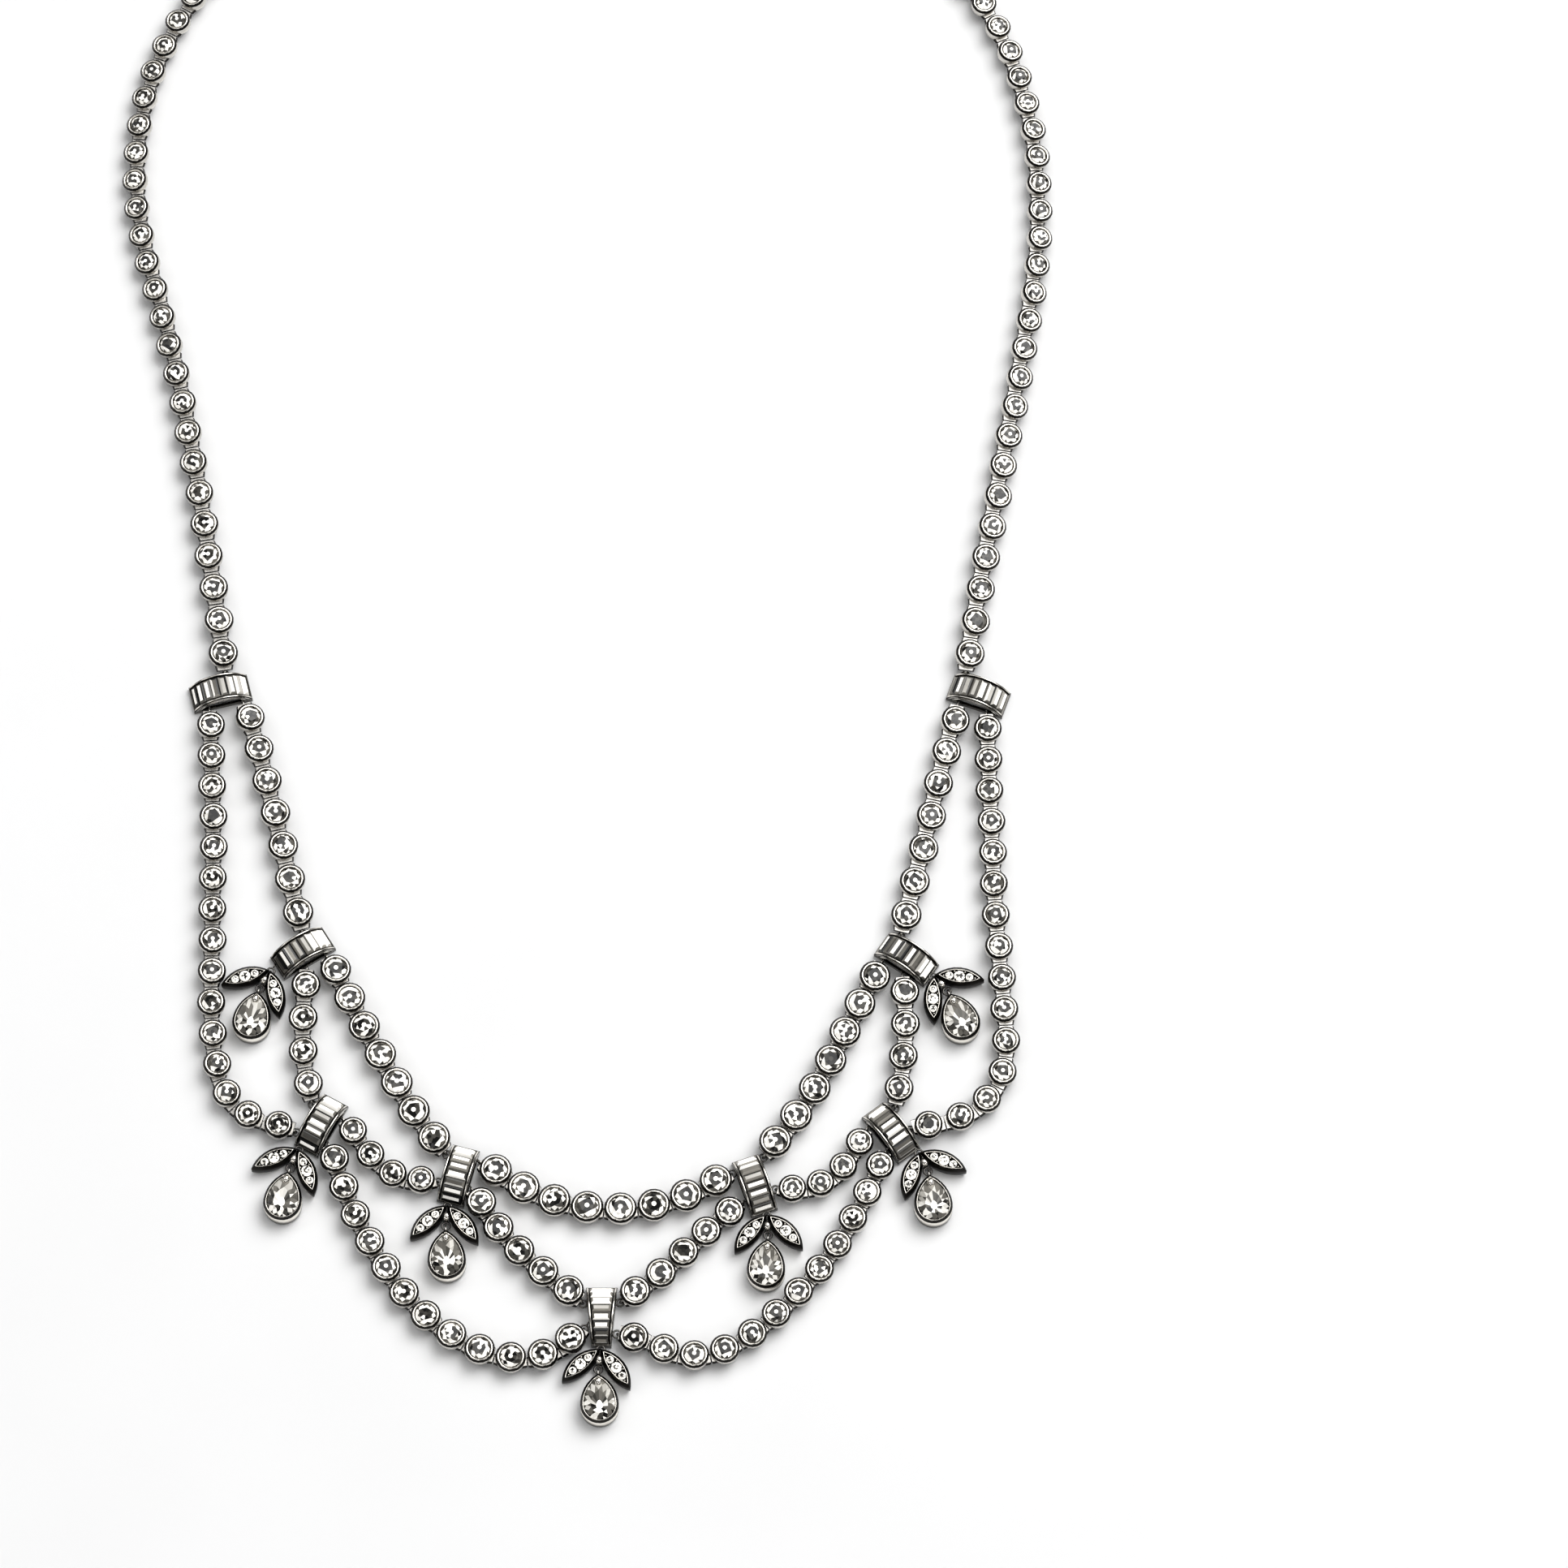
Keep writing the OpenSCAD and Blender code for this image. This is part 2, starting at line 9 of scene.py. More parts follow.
import bpy
import numpy as np
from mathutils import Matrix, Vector


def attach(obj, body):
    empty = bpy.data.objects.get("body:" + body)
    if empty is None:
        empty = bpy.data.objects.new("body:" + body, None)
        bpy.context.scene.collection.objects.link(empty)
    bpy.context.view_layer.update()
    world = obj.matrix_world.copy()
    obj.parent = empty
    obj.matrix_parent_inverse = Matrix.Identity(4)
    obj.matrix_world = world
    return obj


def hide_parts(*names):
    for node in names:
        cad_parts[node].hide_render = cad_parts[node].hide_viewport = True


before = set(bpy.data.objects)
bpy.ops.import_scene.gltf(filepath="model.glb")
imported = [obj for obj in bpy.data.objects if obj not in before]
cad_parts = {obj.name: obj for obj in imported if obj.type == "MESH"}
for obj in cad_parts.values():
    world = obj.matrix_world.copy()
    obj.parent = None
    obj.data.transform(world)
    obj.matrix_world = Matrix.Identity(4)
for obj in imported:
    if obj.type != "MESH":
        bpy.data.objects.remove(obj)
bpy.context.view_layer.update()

# Units, and the way from the photo's plan to the row frame; lengths below are in millimetres
MM = 0.001
LAY_SHIFT = np.array([2.1, -22.5, 0.0])

# Collets: height, height of the cup under the wall, and how far it draws in to its foot
COLLET_H, CUP_H, CUP_DRAW = 2.2, 1.2, 0.95
# Width of the rim's bevel, of its flat top and of the groove round the stone; flat of the seat
RIM_BEVEL, RIM_TOP, GROOVE = 0.22, 0.21, 0.13
SEAT_R, SEAT_Z = 0.35, 0.7
# How much wider the rims are shown than the solids', and the space that they keep
RIM_SWELL, RIM_CLEAR = 0.14, 0.10
# Round stones: girdle below the rim, table above it, culet's height, share of the table
GIRDLE_BELOW_RIM, TABLE_RISE, CULET_Z, TABLE_SHARE = 0.17, 0.22, 0.95, 0.62
# Points of a round stone's outline, and its turn from link to link, in degrees
STONE_POINTS, STONE_TURN = 16, 37.0
# Each link leans a little of its own, in degrees: most, and turn of its wave from link to link
LEAN_WOBBLE, WOBBLE_TURN = 3.0, 97.0

# Shoulders over the eyes: heights, half width as a share of the collet's radius and its taper,
# bevel, gap to the joint, and how far they start inside the collet's wall
SHOULDER_LOW, SHOULDER_HIGH, SHOULDER_SHARE, SHOULDER_TAPER = 1.25, 1.6, 0.64, 0.85
SHOULDER_BEVEL, SHOULDER_CLEAR, SHOULDER_ROOT = 0.2, 0.09, 0.4

# Eyes: height of their middle, radius of the ring, wire, neck and where the neck starts
EYE_Z, EYE_R, EYE_WIRE, NECK_D, NECK_START = 0.62, 0.45, 0.25, 0.2, 1.5

# Bars: length, radius and centre height of the arch, rail, flat frame
BAR_L, ARCH_R, ARCH_Z, RAIL_W, FRAME_H, FRAME_END = 7.0, 3.8, -0.85, 0.35, 0.65, 0.8
# Rail, gallery and bed: half angle of the arch that they follow, in degrees, and their rings;
# radii of the bed, and how far it reaches into the rails
RAIL_ANGLE, RAIL_RINGS = 67, 25
GALLERY_ANGLE, BED_ANGLE, INNER_RINGS = 66, 64, 21
BED_LOW_R, BED_HIGH_R, BED_OVERLAP = 3.06, 3.24, 0.06
# Gallery posts: places on the arch, in degrees, foot and head radius, thickness and inset
POSTS = (-57, -38, -19, 0, 19, 38, 57)
POST_LOW_R, POST_HIGH_R, POST_W, POST_INSET = 3.05, 3.45, 0.2, 0.17

# Baguettes: how many, half angle of the row, gap to the rail, space between two, girdle's depth
BAGUETTES, ROW_HALF, ROW_GAP, STONE_SPACE, GIRDLE_DEPTH = 8, 60.5, 0.06, 0.05, 0.18

# Leaves: length, bulge of the outer and inner edge, height, angle from the pair's axis
LEAF_L, LEAF_OUT, LEAF_IN, LEAF_H, LEAF_SPREAD = 5.8, 1.25, 0.95, 2.0, 42.5
# Steps of each edge of a leaf, and height of the bed under its stones
LEAF_STEPS, LEAF_BED = 12, 1.3
# Stones of a leaf: girdle's, table's and culet's height, share of the table
LEAF_GIRDLE, LEAF_TABLE, LEAF_CULET, LEAF_TABLE_SHARE = 1.8, 2.06, 1.36, 0.5
# The leaf is cut away over the bar's eye: where the cut ends, and the length of its slope
APEX_CLEAR, APEX_FALL = 1.25, 0.4
# Height of the beads; places of the hub and of the fork's joint along the pair's axis
BEAD_Z, HUB_AT, FORK_L = 1.88, 1.15, 2.4

# Pears: radius of the round end, its centre from the tip, height, tip from the joint
PEAR_R, PEAR_TIP, PEAR_H, PEAR_GAP = 2.2, 3.7, 2.3, 0.6
# Height of the cup's floor inside
PEAR_BED = 0.72
# Steps of the pear's outline: of each side, for the setting and the stone, and of its end
SETTING_STEPS, PEAR_STONE_STEPS, PEAR_END_STEPS = 7, 9, 14
# Claw: place along the pear from where its tip starts, height, and stretch along the pear
CLAW_AT, CLAW_Z, CLAW_STRETCH = 1.05, 2.3, (1.35, 1.0, 1.0)
# Pear stones: inset, centre of the cut, girdle, table and culet heights, share of the table
PEAR_INSET, PEAR_CENTRE = 0.41, np.array([0.45, 0.0])
PEAR_GIRDLE, PEAR_TABLE, PEAR_CULET, PEAR_TABLE_SHARE = 2.05, 2.8, 0.95, 0.55
# Towards the tip the stone's painted tones draw together round a middle one: that tone, the spread
# that is left, and where along the pear this starts and how slowly it grows
TIP_TONE, TIP_SPREAD, TIP_START, TIP_LENGTH = 0.4, 0.5, 0.25, 2.0

# Clasp: middle, length, width, height; joints from its ends, and its eyes' roots inside it;
# size and rounding of the upper edges, and bevel of the lower ones
CLASP_AT, CLASP_L, CLASP_W, CLASP_H = np.array([-1.2, 121.0]), 12.0, 4.2, 2.2
CLASP_REACH, CLASP_ROOT = 0.6, 1.0
CLASP_EDGE, CLASP_ROUND, CLASP_FOOT = 0.4, 0.12, 0.1
# Handles of the hidden back's curve: in line with the neck strand, and level from the clasp
BACK_REACH, BACK_LEVEL = 34.0, 32.0

# Sides of round shapes, and steps along a strand's curve
DRUM_SIDES, WIRE_SIDES, RING_SIDES, BEAD_SIDES, CLAW_SIDES, HUB_SIDES = 20, 6, 14, 8, 12, 16
CURVE_STEPS = 60

# Cut stones: thickness of a girdle on each side of its middle, then shares of the way from the
# centre to the outline, for the table's heart, the crown's middle points and the waist below
GIRDLE_THIN, HEART, CROWN, WAIST = 0.02, 0.22, 0.8, 0.3

# Finishes of the faces, in the order of the materials; the near-black and the shaded metal are
# painted shade
METAL, SHADE_DARK, STONE, BED, SHADE = range(5)

# Bars: name, centre, angle, width at the near end, width at the far end
BARS = [
    ("top_left", (-44.7, 11.1), 14, 3.2, 3.2),
    ("top_right", (44.3, 10.8), -20, 3.2, 3.2),
    ("upper_left", (-34.4, -21.1), 32, 3.2, 3.2),
    ("upper_right", (35.7, -21.9), -34, 3.2, 3.2),
    ("outer_left", (-31.9, -42.1), 61, 3.2, 3.2),
    ("outer_right", (33.8, -43.0), 127, 3.2, 3.2),
    ("inner_left", (-16.0, -48.2), 75, 3.2, 3.2),
    ("inner_right", (18.1, -49.4), 109, 3.2, 3.2),
    ("centre", (0.6, -65.1), 90, 2.3, 3.6),
]

# Drops: bar, apex of the leaves, direction of the pair, direction of the pear
DROPS = [
    ("upper_left", (-38.2, -23.6), -30, -10),
    ("upper_right", (38.9, -24.2), 42, 20),
    ("outer_left", (-34.5, -45.3), -23, -9),
    ("outer_right", (37.1, -45.7), 25, 7),
    ("inner_left", (-17.2, -52.1), -4, 3),
    ("inner_right", (19.5, -53.2), 3, -3),
    ("centre", (0.5, -69.2), -6, 3),
]

# Stones of a leaf: distance from the apex, how far outwards, radius
LEAF_STONES = [(1.72, 0.12, 0.45), (2.9, 0.15, 0.64), (4.08, 0.12, 0.45)]
# Beads of a leaf: distance from the apex, how far outwards
LEAF_BEADS = [(1.06, 0.02), (2.28, 0.66), (2.28, -0.4), (3.52, 0.66), (3.52, -0.4), (4.74, 0.02)]

NECK_LEFT = [(-53.9, 64), (-49.3, 49), (-46.4, 28.5), (-44.2, 13.6)]
NECK_RIGHT = [(51.2, 63.6), (49.1, 48), (44.8, 28), (42.8, 13.6)]


def back_curve(side, neck):
    """Handles of the hidden back: level from the clasp, then in line with the neck strand."""
    neck = np.array(neck, float)
    along = (neck[1] - neck[0]) / np.hypot(*(neck[1] - neck[0]))
    start = CLASP_AT + (side * (CLASP_L / 2 + CLASP_REACH), 0)
    return [start, start + (side * BACK_LEVEL, 0), neck[0] - BACK_REACH * along, neck[0]]


# Strands: name, piece at the start, piece at the end, curve, collets, rim diameter at the start
# and at the end, lean at the start and at the end
STRANDS = [
    ("back_chain_left", "clasp", "", back_curve(-1, NECK_LEFT), 24, 2.75, 2.75, 0, -15),
    ("back_chain_right", "clasp", "", back_curve(1, NECK_RIGHT), 24, 2.75, 2.75, 0, 17),
    ("neck_left", "", "top_left", NECK_LEFT, 13, 2.75, 3.2, -15, 6),
    ("neck_right", "", "top_right", NECK_RIGHT, 13, 2.75, 3.2, 17, 11),
    ("outer_left", "top_left", "outer_left",
     [(-45.9, 8.6), (-45, -7), (-43.5, -21), (-48, -44.5), (-42.5, -40.5), (-34.9, -42.9)],
     15, 3, 3, 4, 2),
    ("outer_right", "top_right", "outer_right",
     [(45.2, 8.2), (46.3, -22.5), (45.3, -28.1), (49.7, -33.3), (50.5, -43.8), (37.6, -42.1),
      (36.2, -42.6)], 15, 3, 3, 0, 2),
    ("inner_upper_left", "top_left", "upper_left",
     [(-41.9, 9.5), (-39, 1.5), (-37.1, -9), (-34.5, -18.6)], 7, 3.1, 3.3, 8, 4),
    ("inner_upper_right", "top_right", "upper_right",
     [(41.8, 9.3), (39.6, 1), (37.6, -9), (35.1, -18.9)], 7, 3.1, 3.3, 10, 5),
    ("middle_upper_left", "upper_left", "outer_left",
     [(-33.9, -23.4), (-34.3, -29), (-34.6, -34), (-33, -39.4)], 4, 3.1, 3.1, 3, 0),
    ("middle_upper_right", "upper_right", "outer_right",
     [(35.2, -24.3), (35.8, -30), (35.6, -35), (34.3, -39.9)], 4, 3.1, 3.1, 3, 0),
    ("inner_lower_left", "upper_left", "inner_left",
     [(-31.5, -21.9), (-27, -30.5), (-22, -41), (-17.5, -45.5)], 7, 3.3, 3.5, 4, 0),
    ("inner_lower_right", "upper_right", "inner_right",
     [(32.7, -22.6), (28.5, -31), (24, -41.5), (19.2, -45.9)], 7, 3.3, 3.5, 4, 0),
    ("inner_centre", "inner_left", "inner_right",
     [(-13.3, -46.8), (-4.6, -54), (6.2, -54.6), (15.3, -48.1)], 8, 3.5, 3.5, 2, -2),
    ("middle_lower_left", "outer_left", "inner_left",
     [(-29.2, -41.7), (-26, -46.2), (-24, -50.5), (-18.5, -49)], 4, 3.05, 3.05, 0, 2),
    ("middle_lower_right", "outer_right", "inner_right",
     [(30.9, -42.9), (27.9, -49.6), (25.6, -51.1), (20.7, -49.9)], 4, 3, 3, 0, -2),
    ("middle_centre_left", "inner_left", "centre",
     [(-14.3, -50.2), (-12, -55.3), (-5.5, -61), (-1.7, -63.4)], 5, 3.2, 3.3, 2, 0),
    ("middle_centre_right", "inner_right", "centre",
     [(16.5, -51.6), (12, -55.2), (8, -60.8), (2.9, -63.3)], 5, 3.15, 3.25, 0, 0),
    ("lower_swag_left", "outer_left", "centre",
     [(-30.9, -44.8), (-27, -57), (-21, -70), (-7, -75), (-1.5, -66.7)], 12, 3.1, 3.3, 2, 0),
    ("lower_swag_right", "outer_right", "centre",
     [(33.1, -45.6), (29.4, -55.3), (24.7, -66.2), (7.1, -76.4), (12.7, -69.3), (2.6, -67.2)],
     12, 3, 3.15, 0, 0),
]

# Drum of a collet from its foot up and over the rim: (inset from its radius, height)
DRUM = [
    (CUP_DRAW, 0), (0.3, 0.6), (0.06, 1.0), (0, CUP_H + 0.1), (0, COLLET_H - 0.24),
    (RIM_BEVEL, COLLET_H - 0.05), (RIM_BEVEL + 0.04, COLLET_H),
    (RIM_BEVEL + RIM_TOP - 0.04, COLLET_H), (RIM_BEVEL + RIM_TOP, COLLET_H - 0.08),
    (RIM_BEVEL + RIM_TOP + 0.03, COLLET_H - 0.3)]
# Finish of each band of the drum, on to the seat, then of both ends: the upright wall is the
# shaded metal and the outer bevel and the groove are near-black, all painted shade
DRUM_BANDS = [METAL, METAL, METAL, SHADE, SHADE_DARK, METAL, METAL, METAL, SHADE_DARK, BED, METAL, BED]
# Shoulder: bevelled sides, underside, top; near-black sides and a shaded top, painted shade
# between the collets
SHOULDER_BANDS = [SHADE_DARK, SHADE_DARK, SHADE]

# Sections carried along a bar's arch: (inset from the side, radius), and the rail's finishes,
# whose near-black bands are painted shade
RAIL = [(0, 3.32), (0, 3.64), (0.08, 3.78), (0.10, ARCH_R), (0.21, ARCH_R), (0.23, 3.78),
        (RAIL_W, 3.60), (RAIL_W, 3.32)]
RAIL_FINISH = [METAL, SHADE_DARK, METAL, METAL, METAL, SHADE_DARK, SHADE_DARK, SHADE_DARK]
GALLERY = [(0.02, 3.0), (0.02, 3.12), (0.07, 3.17), (0.25, 3.17), (0.3, 3.12), (0.3, 3.0)]
# Bed under the stones, from rail to rail: (inset, radius), and each point's side
BED_SECTION = [
    (RAIL_W - BED_OVERLAP, BED_LOW_R), (RAIL_W - BED_OVERLAP, BED_HIGH_R),
    (RAIL_W - BED_OVERLAP, BED_HIGH_R), (RAIL_W - BED_OVERLAP, BED_LOW_R)]
BED_SIDES = np.array([-1, -1, 1, 1])
# Flat frame under a bar: (side inset, end inset, height)
FRAME = np.array([
    (0, 0, 0), (0, 0, 0.57), (0.07, 0.07, FRAME_H), (0.29, 0.74, FRAME_H),
    (RAIL_W, FRAME_END, 0.58), (RAIL_W, FRAME_END, 0)])
# Steps of a baguette: (height from the girdle, inset)
BAGUETTE = np.array([(-0.34, 0.30), (-0.17, 0.12), (-0.02, 0), (0.02, 0), (0.14, 0.1),
                     (0.24, 0.25)])

# Leaf and pear setting: (inset, height) of each ring, then the bands' and both ends' finishes; the
# near-black bands on the leaves' walls and the rims' bevels and insides are painted shade
LEAF_LEVELS = [(0.22, 0), (0.04, 0.35), (0, 0.6), (0, 1.72), (0.3, 1.96), (0.31, LEAF_H),
               (0.38, LEAF_H), (0.39, 1.94), (0.41, LEAF_BED)]
LEAF_BANDS = [SHADE_DARK] * 4 + [METAL] * 3 + [SHADE_DARK] * 3
PEAR_LEVELS = [(0.12, 0), (0.02, 0.12), (0, 0.3), (0, 1.98), (0.27, 2.24), (0.28, PEAR_H),
               (0.33, PEAR_H), (0.36, 2.24), (0.38, 1.85), (0.7, 1.6), (1.3, 0.75)]
PEAR_BANDS = [METAL] * 3 + [SHADE_DARK] + [METAL] * 3 + [SHADE_DARK] * 3 + [METAL, SHADE_DARK]
# Small turned shapes: (radius, height)
BEAD = [(0, -0.12), (0.08, -0.06), (0.1, 0.02), (0.07, 0.08), (0, 0.1)]
HUB = [(0, 0), (0.42, 0), (0.5, 0.08), (0.5, 1.4), (0.4, 1.58), (0, 1.62)]
CLAW = [(0, -0.4), (0.3, -0.36), (0.46, 0), (0.4, 0.28), (0.22, 0.46), (0, 0.52)]

# Corners of an oblong, as signs of its half sizes
CORNERS = np.array([(-1, -1), (1, -1), (1, 1), (-1, 1)])

# Clasp: section as (across, height), then stations as (place along it, size of the section),
# with the joint of the tongue's plate
CLASP_SECTION = np.array([
    (CLASP_FOOT - CLASP_W / 2, 0), (CLASP_W / 2 - CLASP_FOOT, 0), (CLASP_W / 2, CLASP_FOOT),
    (CLASP_W / 2, CLASP_H - CLASP_EDGE), (CLASP_W / 2 - CLASP_ROUND, CLASP_H - CLASP_ROUND),
    (CLASP_W / 2 - CLASP_EDGE, CLASP_H), (CLASP_EDGE - CLASP_W / 2, CLASP_H),
    (CLASP_ROUND - CLASP_W / 2, CLASP_H - CLASP_ROUND), (-CLASP_W / 2, CLASP_H - CLASP_EDGE),
    (-CLASP_W / 2, CLASP_FOOT)])
CLASP_STATIONS = np.array([
    (-CLASP_L / 2, 0.82), (-CLASP_L / 2 + 0.12, 0.97), (-CLASP_L / 2 + 0.3, 1), (1.9, 1),
    (1.95, 0.96), (2.1, 0.96), (2.15, 1), (CLASP_L / 2 - 0.3, 1), (CLASP_L / 2 - 0.12, 0.97),
    (CLASP_L / 2, 0.82)])

# Painted light and shade of each kind of facet, standing in for what it reflects: lightness from
# and to, and the share of them that turns the other way
LOWER_TONES = {"lower": (0.00, 0.50, 0.6), "main": (0.00, 0.50, 0.6), "girdle": (0.00, 0.05, 0.0)}
ROUND_TONES = LOWER_TONES | {
    "heart": (0.85, 1.00, 0.20), "table": (0.00, 0.14, 0.14), "star": (0.00, 0.30, 0.40),
    "kite": (0.80, 1.00, 0.20), "upper": (0.00, 0.30, 0.40),
}
PEAR_TONES = LOWER_TONES | {
    "heart": (0.90, 1.00, 0.00), "table": (0.00, 0.30, 0.35), "star": (0.00, 0.30, 0.38),
    "kite": (0.65, 1.00, 0.45), "upper": (0.00, 0.30, 0.30),
}
LEAF_TONES = LOWER_TONES | {
    "heart": (0.85, 1.00, 0.30), "table": (0.00, 0.30, 0.40), "star": (0.60, 1.00, 0.30),
    "kite": (0.90, 1.00, 0.05), "upper": (0.70, 1.00, 0.20),
}
# Baguettes: painted light and shade of the four sides of each step, from and to, of the underside,
# of the table
EDGE_LOW, EDGE_HIGH = (0.05, 0.0, 0.05, 0.3), (0.42, 0.2, 0.42, 0.9)
UNDER_TONE, TABLE_CHOICES = 0.5, [0.25, 0.6, 0.9, 1.0]
# Painted light: baguettes whose tables lean this way are painted lighter, those leaning away
# darker:
# direction, gain, loss on the far side, least lean, and the steps' share of the flash
FLASH_WAY, FLASH, AWAY_SHADE, FLASH_FROM, EDGE_FLASH = (0.55, 0.83), 1.2, 0.2, 0.15, 0.6

# Stones: share of clear stone, painted glow of the brightest facets, index, strength of the mirror
STONE_CLEAR, GLOW, STONE_IOR, STONE_MIRROR = 0.04, 0.5, 2.417, 0.06
# Tones that show the painted dark, middle and bright colour, and between which the painted glow
# grows
DARK_TONE, MIDDLE_TONE, BRIGHT_TONE, GLOW_FROM, GLOW_FULL = 0.05, 0.5, 0.85, 0.55, 0.95
# Heights between which the metal's painted shade near the floor fades out
SHADE_FADE_LOW, SHADE_FADE_HIGH = 0.6, 1.3
# Noises: scale per metre, detail, roughness; values that show the deep and the pale colour.
# Hair's share of the gloss, and its bump's strength and depth in metres; drift's share of a
# stone's tone
CLOUD, HAIR, DRIFT, MOTTLE = (900, 3, 0.6), (9000, 2, 0.7), (350, 2, 0.5), (30, 2, 0.5)
DEEP_AT, PALE_AT = 0.3, 0.7
HAIR_GLOSS, HAIR_BUMP, HAIR_DEPTH, DRIFT_TONE = 0.06, 0.05, 0.00002, 0.1

# Windows of the studio: direction, angle where the light is full, angle where it ends, strength
MIRRORED = (0.0, 0.34, 0.94)
WINDOWS = [
    ((0.50, 0.42, 0.75), 18, 24, 2.0),
    ((-0.70, 0.25, 0.66), 12, 16, 1.7),
    ((-0.55, -0.45, 0.70), 9, 13, 1.6),
    ((-0.15, -0.75, 0.64), 9, 13, 1.6),
    ((0.45, -0.60, 0.66), 9, 13, 1.6),
    ((0.75, -0.20, 0.63), 9, 13, 1.6),
    (MIRRORED, 28, 33, 0.8),
]
# Light between the windows, and the angles of the dark spot inside the frame of the last one
STUDIO_DARK, HOOD_NEAR, HOOD_FAR = 0.08, 10, 13
# Key lamp: place and diameter in metres, power in watts
KEY_PLACE, KEY_SIZE, KEY_POWER = (0.42, 0.42, 0.88), 1.1, 8.0
# Floor: half its width in metres, roughness, strength of its mirror, and its two whites
FLOOR_HALF, FLOOR_ROUGH, FLOOR_MIRROR = 1.5, 0.9, 0.1
FLOOR_DEEP, FLOOR_PALE = (0.90, 0.90, 0.90), (0.92, 0.92, 0.92)

# The photo: millimetres a pixel, pixels across, and the middle of its width in the plan
PHOTO_SCALE, PHOTO_PIXELS, PHOTO_MIDDLE = 0.095, 1932, np.array([21.47, 0.0, 0.0])
# Camera: elevation in degrees, distance in metres, sensor's width in millimetres, and nearest
# and farthest that it sees; width of the frame, and the point that it looks at
VIEW_ELEVATION, VIEW_DISTANCE = 70.0, 1.0
SENSOR_WIDTH, NEAREST, FARTHEST = 36.0, 0.05, 10.0
FRAME_WIDTH = PHOTO_SCALE * PHOTO_PIXELS * MM
TARGET = (PHOTO_MIDDLE + LAY_SHIFT) * MM

# Draws the painted tones of all facets, in the order in which the pieces are made
SPARKLE = np.random.default_rng(7)


# Shader sums
class Signal:
    """A shader socket in a sum: each operator adds the Math node that works it out."""

    def __init__(self, recipe, socket):
        self.recipe, self.socket = recipe, socket

    def math(self, operation, a, b):
        return self.recipe.node("ShaderNodeMath", {"operation": operation}, {0: a, 1: b})

    def __add__(self, other):
        return self.math("ADD", self, other)

    def __sub__(self, other):
        return self.math("SUBTRACT", self, other)

    def __rsub__(self, other):
        return self.math("SUBTRACT", other, self)

    def __mul__(self, other):
        return self.math("MULTIPLY", self, other)

    __radd__, __rmul__ = __add__, __mul__


class Recipe:
    """A node tree that is written as sums of signals."""

    def __init__(self, owner):
        owner.use_nodes = True
        self.owner, self.tree = owner, owner.node_tree
        self.tree.nodes.clear()

    def node(self, kind, settings, inputs, out=0):
        """Adds one node: its settings first, then its sockets' values or links."""
        made = self.tree.nodes.new(kind)
        for key, value in settings.items():
            if key == "stops":
                ramp = made.color_ramp
                while len(ramp.elements) < len(value):
                    ramp.elements.new(1.0)
                for element, (at, colour) in zip(ramp.elements, value):
                    element.position, element.color = at, (*colour, 1.0)
            else:
                setattr(made, key, value)
        for key, value in inputs.items():
            if isinstance(value, Signal):
                self.tree.links.new(value.socket, made.inputs[key])
            else:
                made.inputs[key].default_value = value
        return Signal(self, made.outputs[out]) if len(made.outputs) else None

    def noise(self, where, scale, detail, rough):
        """Cloudy noise from 0 to 1, with its scale per metre."""
        return self.node("ShaderNodeTexNoise", {}, {
            "Vector": where, "Scale": scale, "Detail": detail, "Roughness": rough})

    def ramp(self, value, *stops):
        """Colour that a value picks between stops of (value, colour)."""
        return self.node("ShaderNodeValToRGB", {"stops": stops}, {0: value})

    def blend(self, share, first, second):
        """Mixes two colours by a share, each a signal or three numbers."""
        inputs = {0: share}
        for socket, colour in ((6, first), (7, second)):
            inputs[socket] = colour if isinstance(colour, Signal) else (*colour, 1.0)
        return self.node("ShaderNodeMix", {"data_type": "RGBA", "blend_type": "MIX"}, inputs, 2)

    def step(self, value, low, high):
        """0 below one value and 1 above another, with a smooth rise between them."""
        return self.node("ShaderNodeMapRange", {"interpolation_type": "SMOOTHSTEP"}, {
            "Value": value, "From Min": low, "From Max": high, "To Min": 0.0, "To Max": 1.0})

    def bump(self, height, strength, distance):
        """Normal tilted by the slope of a height, with its distance in metres."""
        return self.node("ShaderNodeBump", {}, {
            "Height": height, "Strength": strength, "Distance": distance})

    def surface(self, inputs):
        """Finishes the material with one Principled shader."""
        shader = self.node("ShaderNodeBsdfPrincipled", {}, inputs)
        self.node("ShaderNodeOutputMaterial", {}, {"Surface": shader})
        return self.owner


def material(name):
    """A new recipe, with the piece's own Object coordinates."""
    recipe = Recipe(bpy.data.materials.new(name))
    return recipe, recipe.node("ShaderNodeTexCoord", {}, {}, 3)


def polished_metal(name, pale, deep, near_floor_shade, low, high):
    """Polished white metal: soft cloudy tone, polishing haze and hair-fine wear in its gloss,
    and painted shade that darkens what lies near the floor, where shade falls under the pieces."""
    r, where = material(name)
    cloud = r.noise(where, *CLOUD)
    hair = r.noise(where, *HAIR)
    z = r.node("ShaderNodeSeparateXYZ", {}, {0: where}, 2)
    # Painted shade: below these heights the metal is painted towards its dark colour, as shade
    # falls near the floor
    height = r.step(z, SHADE_FADE_LOW * MM, SHADE_FADE_HIGH * MM)
    unshaded = r.ramp(cloud, (DEEP_AT, deep), (PALE_AT, pale))
    return r.surface({
        "Base Color": r.blend(height, near_floor_shade, unshaded),
        "Metallic": 1.0,
        "Roughness": low + (high - low) * cloud + HAIR_GLOSS * hair,
        "Normal": r.bump(hair, HAIR_BUMP, HAIR_DEPTH),
    })


